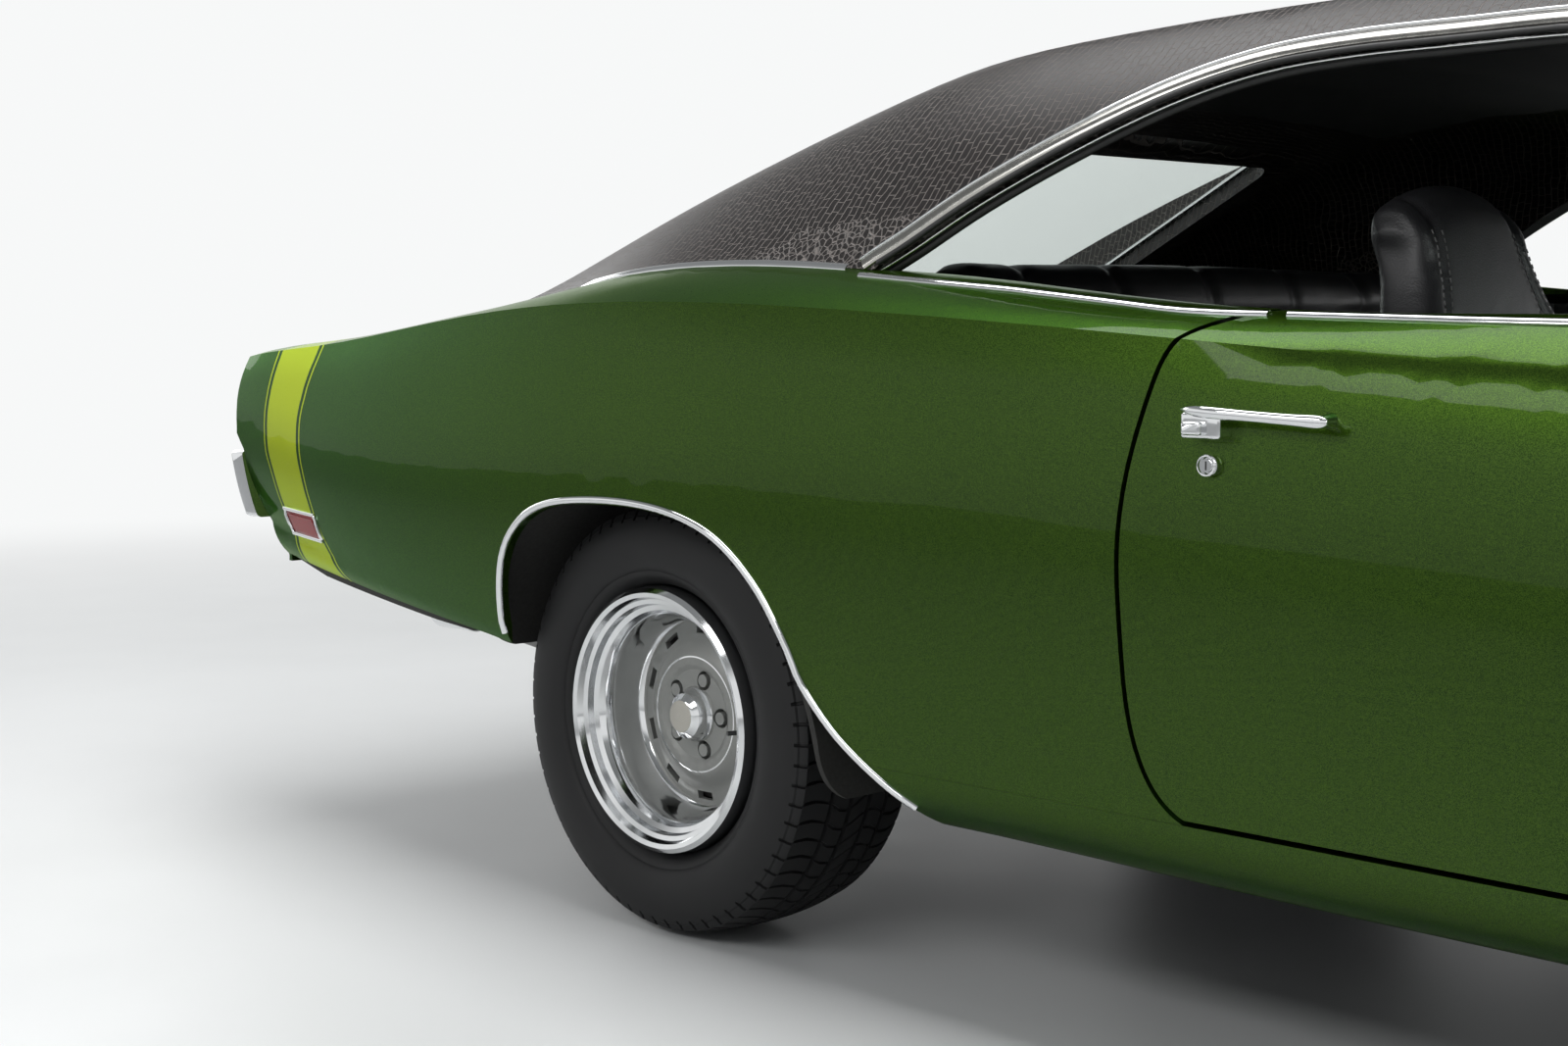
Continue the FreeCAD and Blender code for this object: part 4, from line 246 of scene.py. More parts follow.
def chrome(name, tint=(0.80, 0.81, 0.82), rough=0.05):
    look = Look(name)
    return look.done(Metallic=1.0, Base_Color=look.mix(look.noise(9, 3), tint, shaded(tint, 0.93)),
                     Roughness=look.span(look.noise(60, 4), rough * 0.6, rough * 1.8))


def plain(name, dark, light, rough, grain=400.0, lift=0.0003, strength=0.3, metallic=0.0):
    """Moulded plastic, cast iron, rubber: two tones, a grain and matching bump."""
    look = Look(name)
    fine = look.noise(grain, 4)
    return look.done(Metallic=metallic, Base_Color=look.mix(look.noise(grain / 40, 3), dark, light),
                     Roughness=look.span(fine, rough * 0.8, min(1.0, rough * 1.25)),
                     Normal=look.bump(fine, strength, lift))


def reptile_vinyl():
    """Dark vinyl with embossed scales: long plates in wavy rows, small pebbles round the window's corner, and
    seams painted pale as a painted highlight of the glossy scale edges.
    """
    look = Look("roof_vinyl")
    x, y, z = look.parts(look.node("VectorMath", {0: look.noise(9, 3, "Color"), 1: (0.036, 0.036, 0.036),
                                                  2: look.at}, operation="MULTIPLY_ADD"))
    fold = look.node("CombineXYZ", {0: y.maths("ABSOLUTE") - z * 1.15, 1: x + z * -0.35})
    plates = look.node("TexBrick", {
        "Vector": fold, "Scale": 1.0, "Mortar Size": 0.0011, "Mortar Smooth": 0.45, "Bias": 0.0,
        "Brick Width": 0.032, "Row Height": 0.0125}, "Fac", offset=0.45, squash=0.7, squash_frequency=3)
    pebbles = look.ramp(look.cells(95, "Distance", feature="DISTANCE_TO_EDGE"), ((0.02, 1), (0.12, 0)))
    x, y, z = look.parts(look.at)
    along, above = (x + 0.94) / 0.26, (z - 1.02) / 0.075
    reach = (along * along + above * above).maths("SQRT") + look.noise(16, 2) * 0.5
    line = look.mix(reach.maths("LESS_THAN", 1.2), plates, pebbles)
    tone = look.mix(look.noise(22, 2) * 0.8, (0.005, 0.0035, 0.0035), (0.013, 0.009, 0.008))
    # The seams get a pale colour: a painted highlight of the glossy scale edges
    return look.done(Base_Color=look.mix(line, tone, (0.150, 0.132, 0.122)), Specular_IOR_Level=0.42,
                     Roughness=look.span(line, 0.34, 0.70),
                     Normal=look.bump(look.noise(1100, 3) * 0.10 - line, 0.9, 0.0016))


def slotted_wheel():
    """Chrome trim ring and barrel, grey painted centre with a thin bright line, pale cap face."""
    look = Look("wheel_finish")
    x, _, z = look.parts(look.at)
    out = (x - FRONT_AXLE).maths("ABSOLUTE").maths("MINIMUM", (x - REAR_AXLE).maths("ABSOLUTE"))
    rise = z - TYRE_RADIUS
    share = (out * out + rise * rise).maths("SQRT") / WHEEL_SCALE
    bright, grey, cap = (0.80, 0.81, 0.82), (0.270, 0.275, 0.262), (0.50, 0.48, 0.43)
    stops = ((0.0, cap), (0.125, bright), (0.205, grey), (0.445, bright), (0.456, grey), (0.735, bright))
    tone = look.ramp(share, stops, "CONSTANT")
    metal = look.ramp(share, [(at, float(shade == bright)) for at, shade in stops], "CONSTANT")
    speck = look.noise(900, 3)
    return look.done(Base_Color=look.mix(look.noise(24, 3) * 0.25, tone, 0.10),
                     Metallic=metal.maths("MAXIMUM", 0.35), Roughness=metal * -0.36 + 0.42 + speck * 0.05,
                     Normal=look.bump(speck, 0.06, 0.0002))


def marker_lens():
    """Side marker: red at the tail, amber at the nose."""
    look = Look("marker_finish")
    wave = look.waves(60, "X")
    x = look.parts(look.at)[0]
    tint = look.mix(x.maths("GREATER_THAN", 0.0), (0.30, 0.004, 0.006), (0.60, 0.16, 0.01))
    return look.done(Base_Color=look.mix(wave * 0.5, tint, (0.05, 0.002, 0.002)), Roughness=0.30,
                     Specular_IOR_Level=0.2, Coat_Weight=0.12, Coat_Roughness=0.06,
                     Normal=look.bump(wave, 0.4, 0.0004))


def leather(name):
    look = Look(name)
    return look.done(Base_Color=look.mix(look.noise(5, 3), (0.012, 0.012, 0.013), (0.022, 0.022, 0.024)),
                     Roughness=look.span(look.noise(30, 4), 0.34, 0.5),
                     Normal=look.bump(look.cells(420, "Distance"), 0.35, 0.0006))


def glass(name, tint):
    look = Look(name)
    return look.done(IOR=1.45, Transmission_Weight=1.0, Roughness=0.0,
                     Base_Color=look.mix(look.noise(3, 2), tint, shaded(tint, 0.97)))


# Wave scale that puts a rib every 6 mm
LENS_RIBS = 160 / 3.14


def lens(name, tint):
    """Coloured or clear moulded lens with upright ribs."""
    look = Look(name)
    wave = look.waves(LENS_RIBS, "Y")
    return look.done(Base_Color=look.mix(wave, tint, shaded(tint, 0.6)), Roughness=0.22, Coat_Weight=0.5,
                     Coat_Roughness=0.03, Normal=look.bump(wave, 0.4, 0.0012))


def rubber():
    look = Look("tyre_rubber")
    dust = look.noise(8, 3)
    return look.done(Base_Color=look.mix(dust, (0.0045, 0.0045, 0.005), (0.0095, 0.0095, 0.010)),
                     Roughness=look.span(dust, 0.5, 0.68), Specular_IOR_Level=0.35,
                     Normal=look.bump(look.noise(700, 4), 0.25, 0.0004))


# The record's material slots
LOOKS = {
    "paint": paint("green_paint", False), "vinyl": reptile_vinyl(), "chrome": chrome("chrome_trim"),
    "glass": glass("window_glass", (0.90, 0.97, 0.94)), "tyre": rubber(), "seat": leather("seat_leather"),
    "argent": plain("argent_paint", (0.30, 0.305, 0.31), (0.38, 0.385, 0.39), 0.38, 900, 0.0001, 0.15, 0.75),
    "black": plain("black_satin", 0.010, 0.018, 0.45, 300, 0.0002, 0.2),
    "plastic": plain("dash_plastic", (0.011, 0.011, 0.012), (0.020, 0.020, 0.021), 0.42, 650, 0.0004, 0.5),
    "iron": plain("cast_iron", (0.030, 0.028, 0.026), (0.060, 0.056, 0.052), 0.7, 260, 0.0006, 0.5, 0.3),
    "engine": plain("engine_enamel", (0.30, 0.065, 0.012), (0.36, 0.085, 0.018), 0.4, 200, 0.0006, 0.3),
    "steel": plain("bare_steel", 0.20, (0.30, 0.29, 0.28), 0.42, 240, 0.0003, 0.25, 0.9),
    "red_lens": lens("red_lens", (0.30, 0.004, 0.006)), "clear_lens": lens("clear_lens", (0.80, 0.80, 0.78)),
}
# Finishes of the scene's own, each with the slot that it goes by
LOOKS.update({
    "stainless": chrome("stainless_band", (0.42, 0.41, 0.385), 0.16),
    "mirror": chrome("mirror_face", (0.74, 0.76, 0.76), 0.02),
    "thread": plain("seat_thread", 0.10, (0.16, 0.16, 0.155), 0.7, 900, 0.0002, 0.4),
    "headliner": plain("headliner", 0.012, 0.022, 0.75, 700, 0.0005, 0.6),
    "carpet": plain("carpet", 0.008, 0.022, 0.9, 500, 0.002, 0.9),
    "dial_face": plain("dial_face", 0.004, 0.008, 0.35, 300, 0.0001, 0.2),
    "dial_mark": plain("dial_mark", (0.55, 0.55, 0.50), (0.65, 0.65, 0.60), 0.5, 300, 0.0001, 0.2),
    "inlay": plain("dash_inlay", (0.035, 0.016, 0.008), (0.070, 0.032, 0.014), 0.3, 60, 0.0001, 0.1),
})
# CAD nodes whose finish isn't simply their slot's
UNDERSEAL = plain("underseal", (0.014, 0.014, 0.013), (0.026, 0.025, 0.023), 0.75, 160, 0.0012, 0.6)
STRIPED = paint("green_paint_striped", True)
WHEEL = slotted_wheel()
SPECIAL = {"marker_lamps": marker_lens(), "floor_pan": UNDERSEAL, "wheelhouses": UNDERSEAL}
SPECIAL.update({name: STRIPED for name in nodes if name.startswith("quarter_panel")
                or name in ("deck_lid", "tail_panel", "rear_valance")})
SPECIAL.update({name: WHEEL for name in nodes if name.startswith("wheel_")})


def smooth_group():
    """Node group that shades a mesh smooth and keeps edges over 32 degrees sharp."""
    group = bpy.data.node_groups.new("smooth_by_angle", "GeometryNodeTree")
    for way in ("INPUT", "OUTPUT"):
        group.interface.new_socket("Geometry", in_out=way, socket_type="NodeSocketGeometry")
    start, end, angle, small, faces, edges = (group.nodes.new(kind) for kind in (
        "NodeGroupInput", "NodeGroupOutput", "GeometryNodeInputMeshEdgeAngle", "FunctionNodeCompare",
        "GeometryNodeSetShadeSmooth", "GeometryNodeSetShadeSmooth"))
    small.operation = "LESS_EQUAL"
    small.inputs[1].default_value = math.radians(32)
    edges.domain = "EDGE"
    for source, target, socket in ((angle, small, 0), (start, faces, 0), (faces, edges, 0),
                                   (small, edges, "Shade Smooth"), (edges, end, 0)):
        group.links.new(source.outputs[0], target.inputs[socket])
    return group


SMOOTH = smooth_group()
for row in frame["record"]["subparts"]:
    item = nodes[row["node"]]
    item.data.materials.clear()
    item.data.materials.append(SPECIAL.get(row["node"], LOOKS[row["material_slot"]]))
    item.modifiers.new("merge", "WELD").merge_threshold = 0.00004
    item.modifiers.new("smooth", "NODES").node_group = SMOOTH


# Rays on to the CAD skin
def tree_of(*names):
    """Search tree over some CAD nodes, with the node of each face."""
    corners, faces, owner = [], [], []
    for name in names:
        base = len(corners)
        mesh = nodes[name].data
        corners += [v.co.copy() for v in mesh.vertices]
        faces += [[base + k for k in face.vertices] for face in mesh.polygons]
        owner += [name] * len(mesh.polygons)
    return BVHTree.FromPolygons(corners, faces), owner


LEFT_SKIN = tree_of(*(name for name in nodes if not name.endswith("_right") and name.startswith((
    "door", "quarter", "front_fender", "rocker", "roof", "hood", "cowl", "deck", "rear_deck", "nose",
    "tail_panel", "windshield", "rear_window", "front_valance"))))
ROOF = tree_of("roof_panel")


def hit(start, way, tree=LEFT_SKIN):
    """First point that a ray meets, with its normal turned towards the ray and its node."""
    point, normal, index, _ = tree[0].ray_cast(Vector(start), way)
    if point is None:
        return None, None, None
    return point, -normal if normal.dot(way) > 0 else normal, tree[1][index]


def on_side(x, z, tree=LEFT_SKIN):
    return hit((x, 1.4, z), RIGHT, tree)


def on_top(x, y, tree=LEFT_SKIN):
    return hit((x, y, 1.8), DOWN, tree)


def on_tail(y, z, tree):
    return hit((-3.2, y, z), AHEAD, tree)


def on_nose(y, z, tree):
    return hit((3.2, y, z), ASTERN, tree)


def found(hits):
    """Points and normals of the rays that met something."""
    kept = [(point, normal) for point, normal, *_ in hits if point is not None]
    return [point for point, _ in kept], [normal for _, normal in kept]


def last_true(inner, outer, test, steps):
    """Closes in on the far end of the stretch, from inner towards outer, where a test holds."""
    for _ in range(steps):
        middle = (inner + outer) / 2
        inner, outer = (middle, outer) if test(middle) else (inner, middle)
    return inner, outer


# Lines and shapes: a shape is a list of corners and a list of faces
def neighbour(points, i, closed=False):
    """A line's i-th point, wrapped round a closed line and held at the ends of an open one."""
    return points[i % len(points) if closed else min(max(i, 0), len(points) - 1)]


def smooth_line(points, step=0.02, closed=False):
    """Even points on a smooth curve through the given ones."""
    points = [Vector(p) for p in points]
    fine = []
    for i in range(len(points) - (0 if closed else 1)):
        a, b, c, d = (neighbour(points, i + k, closed) for k in (-1, 0, 1, 2))
        for k in range(12):
            t = k / 12
            fine.append(0.5 * (2 * b + (c - a) * t + (2 * a - 5 * b + 4 * c - d) * t * t
                               + (3 * b - a - 3 * c + d) * t * t * t))
    fine.append(neighbour(points, len(points), closed).copy())
    lengths = [0.0]
    for p, q in zip(fine[:-1], fine[1:]):
        lengths.append(lengths[-1] + (q - p).length)
    number = max(2, round(lengths[-1] / step))
    result, index = [], 0
    for k in range(number + (0 if closed else 1)):
        target = lengths[-1] * k / number
        while index < len(fine) - 2 and lengths[index + 1] < target:
            index += 1
        span = max(lengths[index + 1] - lengths[index], 1e-9)
        result.append(fine[index].lerp(fine[index + 1], (target - lengths[index]) / span))
    return result


def offset_line(points, distance):
    """A flat (x, z) line moved to its left by a distance."""
    moved = []
    for i, p in enumerate(points):
        run = (neighbour(points, i + 1) - neighbour(points, i - 1)).normalized()
        moved.append(p + Vector((-run.y, run.x)) * distance)
    return moved


def bead(width, height, foot=0.0015, count=7):
    """Half-round profile of a trim strip: across, and up from the surface."""
    arc = [(width / 2 * math.cos(math.pi * k / count), height * math.sin(math.pi * k / count) ** 0.8)
           for k in range(count + 1)]
    return [(width / 2, -foot)] + arc + [(-width / 2, -foot)]


def circle(radius, count):
    return [(radius * math.cos(2 * math.pi * k / count), radius * math.sin(2 * math.pi * k / count))
            for k in range(count)]


def sweep(points, normals, profile, closed=False, scale=None):
    """A closed profile carried along a line of points with normals."""
    corners, faces = [], []
    count, size = len(points), len(profile)
    for i in range(count):
        run = (neighbour(points, i + 1, closed) - neighbour(points, i - 1, closed)).normalized()
        across = normals[i].cross(run).normalized()
        up = run.cross(across).normalized()
        grow = scale(i / max(count - 1, 1)) if scale else (1, 1)
        corners += [points[i] + across * u * grow[0] + up * v * grow[1] for u, v in profile]
    for i in range(count if closed else count - 1):
        a, b = i * size, (i + 1) % count * size
        faces += [(a + k, a + (k + 1) % size, b + (k + 1) % size, b + k) for k in range(size)]
    if not closed:
        faces += [tuple(range(size)), tuple(reversed(range((count - 1) * size, count * size)))]
    return corners, faces


def tube(points, radius, count=8):
    points = [Vector(p) for p in points]
    runs = [(neighbour(points, i + 1) - neighbour(points, i - 1)).normalized() for i in range(len(points))]
    return sweep(points, [UP if abs(run.z) < 0.9 else LEFT for run in runs], circle(radius, count))


def lathe(outline, centre, way, count):
    """Turns (radius, distance along) about an axis through centre."""
    way = Vector(way).normalized()
    side = way.orthogonal().normalized()
    other = way.cross(side)
    corners, faces = [], []
    size = len(outline)
    for k in range(count):
        out = side * math.cos(2 * math.pi * k / count) + other * math.sin(2 * math.pi * k / count)
        corners += [Vector(centre) + out * radius + way * along for radius, along in outline]
        a, b = k * size, (k + 1) % count * size
        faces += [(a + i, a + i + 1, b + i + 1, b + i) for i in range(size - 1)]
    return corners, faces


def taken(work):
    """The shape of a bmesh, which is freed."""
    shape = [v.co.copy() for v in work.verts], [tuple(v.index for v in face.verts) for face in work.faces]
    work.free()
    return shape


def rounded_block(low, high, radius=0.004, steps=3):
    """A box between two opposite corners, with rounded edges."""
    low, high = (Vector(map(pick, low, high)) for pick in (min, max))
    work = bmesh.new()
    bmesh.ops.create_cube(work, size=1)
    for v in work.verts:
        v.co = [high[k] if v.co[k] > 0 else low[k] for k in range(3)]
    bmesh.ops.bevel(work, geom=work.edges[:], offset=min(radius, *(high - low) * 0.49), segments=steps,
                    profile=0.5, affect="EDGES")
    return taken(work)


def rounded_loop(corners, radius, steps=6):
    """Closed loop of flat points with each corner rounded."""
    corners = [Vector(c) for c in corners]
    loop = []
    for k, at in enumerate(corners):
        start, end = (at + (neighbour(corners, k + d, True) - at).normalized() * radius for d in (-1, 1))
        for step in range(steps + 1):
            t = step / steps
            loop.append(start * (1 - t) ** 2 + at * 2 * t * (1 - t) + end * t ** 2)
    return loop


def lining(place_at, columns, rows, rise, foot=0.001):
    """Closed pad over a surface: place_at(u, v) gives point and normal, rise(u, v) its height.

    Cells with a corner that isn't found are left out.
    """
    grid = {(i, j): place_at(i / columns, j / rows) for j in range(rows + 1) for i in range(columns + 1)}
    cells = {}
    for j in range(rows):
        for i in range(columns):
            ring = [(i, j), (i + 1, j), (i + 1, j + 1), (i, j + 1)]
            if all(grid[at][0] is not None for at in ring):
                cells[i, j] = ring
    corners, faces, index = [], [], {}

    def corner(at, top):
        if (at, top) not in index:
            index[at, top] = len(corners)
            height = rise(at[0] / columns, at[1] / rows) if top else -foot
            corners.append(grid[at][0] + grid[at][1] * height)
        return index[at, top]

    for (i, j), ring in cells.items():
        faces += [tuple(corner(at, True) for at in ring), tuple(corner(at, False) for at in reversed(ring))]
        for a, b, beside in zip(ring, ring[1:] + ring[:1], ((i, j - 1), (i + 1, j), (i, j + 1), (i - 1, j))):
            if beside not in cells:
                faces.append((corner(b, True), corner(a, True), corner(a, False), corner(b, False)))
    return corners, faces


def joined(shapes):
    corners, faces = [], []
    for more, sides in shapes:
        faces += [tuple(len(corners) + k for k in face) for face in sides]
        corners += more
    return corners, faces


def flipped(shape):
    return [Vector((c.x, -c.y, c.z)) for c in shape[0]], [tuple(reversed(face)) for face in shape[1]]


def mesh_item(name, shape):
    mesh = bpy.data.meshes.new(name)
    mesh.from_pydata([tuple(c) for c in shape[0]], [], shape[1])
    item = bpy.data.objects.new(name, mesh)
    bpy.context.scene.collection.objects.link(item)
    return item


def piece(name, shape, look="chrome", body="body"):
    """Makes a mesh piece that rides on a body."""
    item = mesh_item(name, shape)
    work = bmesh.new()
    work.from_mesh(item.data)
    bmesh.ops.remove_doubles(work, verts=work.verts, dist=0.00002)
    bmesh.ops.recalc_face_normals(work, faces=work.faces)
    work.to_mesh(item.data)
    work.free()
    item.data.materials.append(LOOKS[look])
    for face in item.data.polygons:
        face.use_smooth = True
    item.modifiers.new("smooth", "NODES").node_group = SMOOTH
    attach(item, body)
    return item


def pair(name, shape, look="chrome", body="body"):
    """The same piece on the left and on the right; body may name both sides with a star."""
    for side, sign in SIDES:
        piece(name + "_" + side, shape if sign > 0 else flipped(shape), look, body.replace("*", side))


# Bright trim
def side_strip(line, away, profile, tree=LEFT_SKIN, step=0.018):
    """A strip beside an (x, z) line, laid on the left side."""
    flat = offset_line(smooth_line(line, step), away)
    return sweep(*found(on_side(p.x, p.y, tree) for p in flat), profile)


WINDOW_LINE = [(x_at(s), z) for s, z in (
    (0.128, 0.998), (0.1285, 1.012), (0.139, 1.030), (0.150, 1.048), (0.184, 1.106), (0.231, 1.172),
    (0.277, 1.226), (0.318, 1.256), (0.360, 1.266), (0.410, 1.2665), (0.455, 1.266), (0.476, 1.254),
    (0.518, 1.191), (0.560, 1.127), (0.616, 1.038), (0.664, 0.962))]
pair("roof_side_moulding", side_strip(WINDOW_LINE, 0.014, bead(0.022, 0.0050), ROOF), "stainless")
pair("roof_side_bright", side_strip(WINDOW_LINE, 0.0245, bead(0.005, 0.0050), ROOF))
pair("window_gasket", side_strip(WINDOW_LINE, 0.0015, bead(0.008, 0.004), ROOF), "black")


def reveal_strip(inward, drop, profile):
    """A strip inside the window opening, a way in from the outer skin."""
    flat = smooth_line(WINDOW_LINE)
    points = []
    for a, b in zip(offset_line(flat, 0.006), offset_line(flat, -drop)):
        point = on_side(a.x, a.y, ROOF)[0]
        if point is not None:
            points.append(Vector((b.x, point.y - inward, b.y)))
    return sweep(points, [LEFT] * len(points), profile)


pair("window_frame_bright", reveal_strip(0.016, 0.004, bead(0.006, 0.004)))
pair("window_seal", reveal_strip(0.027, 0.008, bead(0.014, 0.006)), "black")

BELT = [(x_at(s), z) for s, z in (
    (0.107, 1.020), (0.225, 0.990), (0.329, 0.958), (0.477, 0.944), (0.645, 0.934), (0.780, 0.926))]


def belt_at(x):
    for (a, za), (b, zb) in zip(BELT[:-1], BELT[1:]):
        if x <= b:
            return za + (zb - za) * (x - a) / (b - a)
    return BELT[-1][1]


for name, x0, x1, body in (("quarter", -0.925, -0.232, "body"), ("door", -0.205, 0.625, "door_*")):
    stations = [x0 + (x1 - x0) * k / 10 for k in range(11)]
    strip = side_strip([(x, belt_at(x) - 0.007) for x in stations], 0.0, bead(0.012, 0.005), step=0.03)
    pair("belt_moulding_" + name, strip, body=body)

# Lower edge of the vinyl, found as the line where the roof gives way to the body seen from above
EDGE_INNER, EDGE_OUTER, EDGE_TAPER = 0.56, 0.90, 0.12
edge_points, edge_normals = [], []
for k in range(62):
    x = -0.972 - 1.045 * k / 61
    if on_top(x, EDGE_INNER)[2] == "roof_panel":
        y = last_true(EDGE_INNER, EDGE_OUTER, lambda y: on_top(x, y)[2] == "roof_panel", 22)[1]
        point, normal, _ = on_top(x, y + 0.004)
        edge_points.append(Vector((x, y, point.z + 0.001)))
        edge_normals.append((normal + Vector((0, 0.6, 0.2))).normalized())


def edge_scale(t):
    thin = (1 - t) / EDGE_TAPER
    return (1.0, 1.0) if thin > 1 else (max(0.12, thin), max(0.35, thin))


pair("vinyl_moulding", sweep(edge_points, edge_normals, bead(0.017, 0.0065, 0.003), scale=edge_scale))

ARCH_REAR = [(x_at(s), z) for s, z in (
    (-0.103, 0.430), (-0.105, 0.470), (-0.095, 0.570), (-0.077, 0.628), (-0.054, 0.658), (-0.020, 0.671),
    (0.020, 0.672), (0.054, 0.659), (0.082, 0.629), (0.106, 0.572), (0.123, 0.500), (0.1325, 0.442),
    (0.152, 0.375), (0.176, 0.322), (0.1925, 0.288))]
ARCH_RADIUS, ARCH_HEIGHT = 0.392, 0.322
turns = [math.radians(190 - 200 * k / 39) for k in range(40)]
ARCH_FRONT = [(FRONT_AXLE + ARCH_RADIUS * math.cos(turn), ARCH_HEIGHT + ARCH_RADIUS * math.sin(turn))
              for turn in turns]
for end, line, panel in (("rear", ARCH_REAR, "quarter_panel"), ("front", ARCH_FRONT, "front_fender")):
    panels = tree_of(panel + "_left", "rocker_left")
    pair("arch_moulding_" + end, side_strip(line, 0.0065, bead(0.012, 0.006), panels))

# Rear window trim in the plane of the glass
BACK_TOP_X, BACK_FOOT_X = x_at(0.0655), x_at(-0.118)
back_top, back_foot = Vector((x_at(0.068), 0, 1.262)), Vector((x_at(-0.1395), 0, 0.978))
back_run = back_foot - back_top
back_normal = Vector((back_run.z, 0, -back_run.x)).normalized()
TOP_Y, FOOT_Y = 0.462 * HALF_WIDTH, 0.552 * HALF_WIDTH
loop = rounded_loop([(BACK_TOP_X, TOP_Y), (BACK_FOOT_X, FOOT_Y), (BACK_FOOT_X, -FOOT_Y),
                     (BACK_TOP_X, -TOP_Y)], 0.062)
loop = smooth_line([back_top + back_run * ((p.x - back_top.x) / back_run.x) + LEFT * p.y for p in loop],
                   closed=True)
piece("rear_window_trim", sweep(loop, [back_normal] * len(loop), bead(0.020, 0.007, 0.003), True))


# Seats: pads blown up with Cloth, then folded in along their seams and channels
SEAT_Y = 0.368
BACK_FOOT, BACK_TOP = Vector((-0.128, 0, 0.455)), Vector((-0.293, 0, 1.112))
CLOTH_FRAMES = 20


def pad_block(low, high, corner, cells, warp):
    """Closed grid in a box with well rounded edges, bent by warp."""
    low, high = Vector(low), Vector(high)
    middle, half = (low + high) / 2, (high - low) / 2
    work = bmesh.new()
    bmesh.ops.create_cube(work, size=2)
    bmesh.ops.subdivide_edges(work, edges=work.edges[:], cuts=cells, use_grid_fill=True)
    for v in work.verts:
        inner = Vector(max(-h + corner, min(h - corner, c * h)) for c, h in zip(v.co, half))
        out = Vector(c * h for c, h in zip(v.co, half)) - inner
        if out.length > 1e-6:
            out = out.normalized() * corner
        v.co = warp(middle + inner + out)
    return taken(work)


def evaluated(item):
    return item.evaluated_get(bpy.context.evaluated_depsgraph_get())


def blown(shape, cap, voxel, fold):
    """Blows a pad up with Cloth pressure, at most cap metres, and folds it in."""
    item = mesh_item("pad", shape)
    remesh = item.modifiers.new("even", "REMESH")
    remesh.mode = "VOXEL"
    remesh.voxel_size = voxel
    even = bpy.data.meshes.new_from_object(evaluated(item))
    item.modifiers.clear()
    item.data = even
    cloth = item.modifiers.new("blow", "CLOTH")
    cloth.settings.use_pressure = True
    cloth.settings.uniform_pressure_force = 4
    cloth.settings.effector_weights.gravity = 0
    cloth.settings.quality = 4
    cloth.point_cache.frame_start, cloth.point_cache.frame_end = 1, CLOTH_FRAMES
    for number in range(1, CLOTH_FRAMES + 1):
        bpy.context.scene.frame_set(number)
    steps = [b.co - a.co for a, b in zip(even.vertices, evaluated(item).data.vertices)]
    item.modifiers.clear()
    bpy.context.scene.frame_set(1)
    for v, step in zip(even.vertices, steps):
        v.co += step.normalized() * cap if step.length > cap else step
    even.update()
    corners = [v.co - v.normal * fold(v.co) for v in even.vertices]
    faces = [tuple(face.vertices) for face in even.polygons]
    bpy.data.objects.remove(item)
    return corners, faces


def groove(distance, depth, width):
    return depth * math.exp(-(distance / width) ** 2)


def grooves(value, places, depth, width):
    return sum(groove(value - at, depth, width) for at in places)


def pad_piece(name, shape):
    item = piece(name, shape, "seat")
    relax = item.modifiers.new("relax", "SMOOTH")
    relax.factor, relax.iterations = 0.5, 3
    finer = item.modifiers.new("finer", "SUBSURF")
    finer.levels = finer.render_levels = 1
    # Both come before the shading
    for _ in range(2):
        item.modifiers.move(len(item.modifiers) - 1, 0)
    return item


def back_half(z):
    """Half width of the seat back at a height: wide at the shoulders, drawn in to the headrest."""
    t = max(0.0, min(1.0, (z - 0.80) / 0.26))
    return 0.250 - 0.098 * (3 * t * t - 2 * t * t * t)


def back_line(z):
    """Share of the seat back's height and x of its middle there."""
    share = (z - BACK_FOOT.z) / (BACK_TOP.z - BACK_FOOT.z)
    return share, BACK_FOOT.x + (BACK_TOP.x - BACK_FOOT.x) * share


def back_warp(p):
    share, middle = back_line(p.z)
    side = (p.y - SEAT_Y) / 0.252
    bolster = 0.026 * max(0.0, (abs(side) - 0.62) / 0.38) ** 0.8 * (1 - max(0.0, share - 0.62) / 0.5)
    crown = 0.040 * side * side * max(0.0, share - 0.5) * 2
    x = middle + p.x * (1.06 - 0.30 * share) + (bolster if p.x > 0 else 0.0)
    return Vector((x, SEAT_Y + side * back_half(p.z), p.z - crown))


def back_fold(p):
    side, half = abs(p.y - SEAT_Y), back_half(p.z)
    depth = groove(side - half * 0.66, 0.009, 0.007)
    if side < half * 0.66 and 0.50 < p.z < 0.88:
        depth += grooves(p.z, (0.55, 0.61, 0.67, 0.73, 0.79, 0.85), 0.0065, 0.006)
    seams = groove(p.z - 0.925, 0.006, 0.007) + groove(side - half * 0.93, 0.004, 0.005)
    return seams + (depth if p.x > back_line(p.z)[1] else 0.0)


def cushion_warp(p):
    share = (p.x + 0.08) / 0.42
    bolster = 0.024 * max(0.0, (abs(p.y - SEAT_Y) / 0.255 - 0.60) / 0.40) if p.z > 0.40 else 0.0
    return Vector((p.x, p.y, p.z + 0.022 * share + bolster - 0.018 * max(0.0, (share - 0.82) / 0.18) ** 2))


def cushion_fold(p):
    side = abs(p.y - SEAT_Y)
    depth = groove(side - 0.160, 0.009, 0.007)
    if side < 0.160:
        depth += grooves(p.x, (-0.02, 0.045, 0.11, 0.175, 0.24), 0.0065, 0.006)
    return (depth if p.z > 0.42 else 0.0) + groove(p.z - 0.395, 0.006, 0.006)


def bench_back_warp(p):
    share = (p.z - 0.545) / 0.485
    x = -0.985 + 0.036 * (1 - share) + p.x * (1.05 - 0.22 * share)
    return Vector((x, p.y, p.z + 0.012 * math.cos(p.y * 2.2) - 0.006))


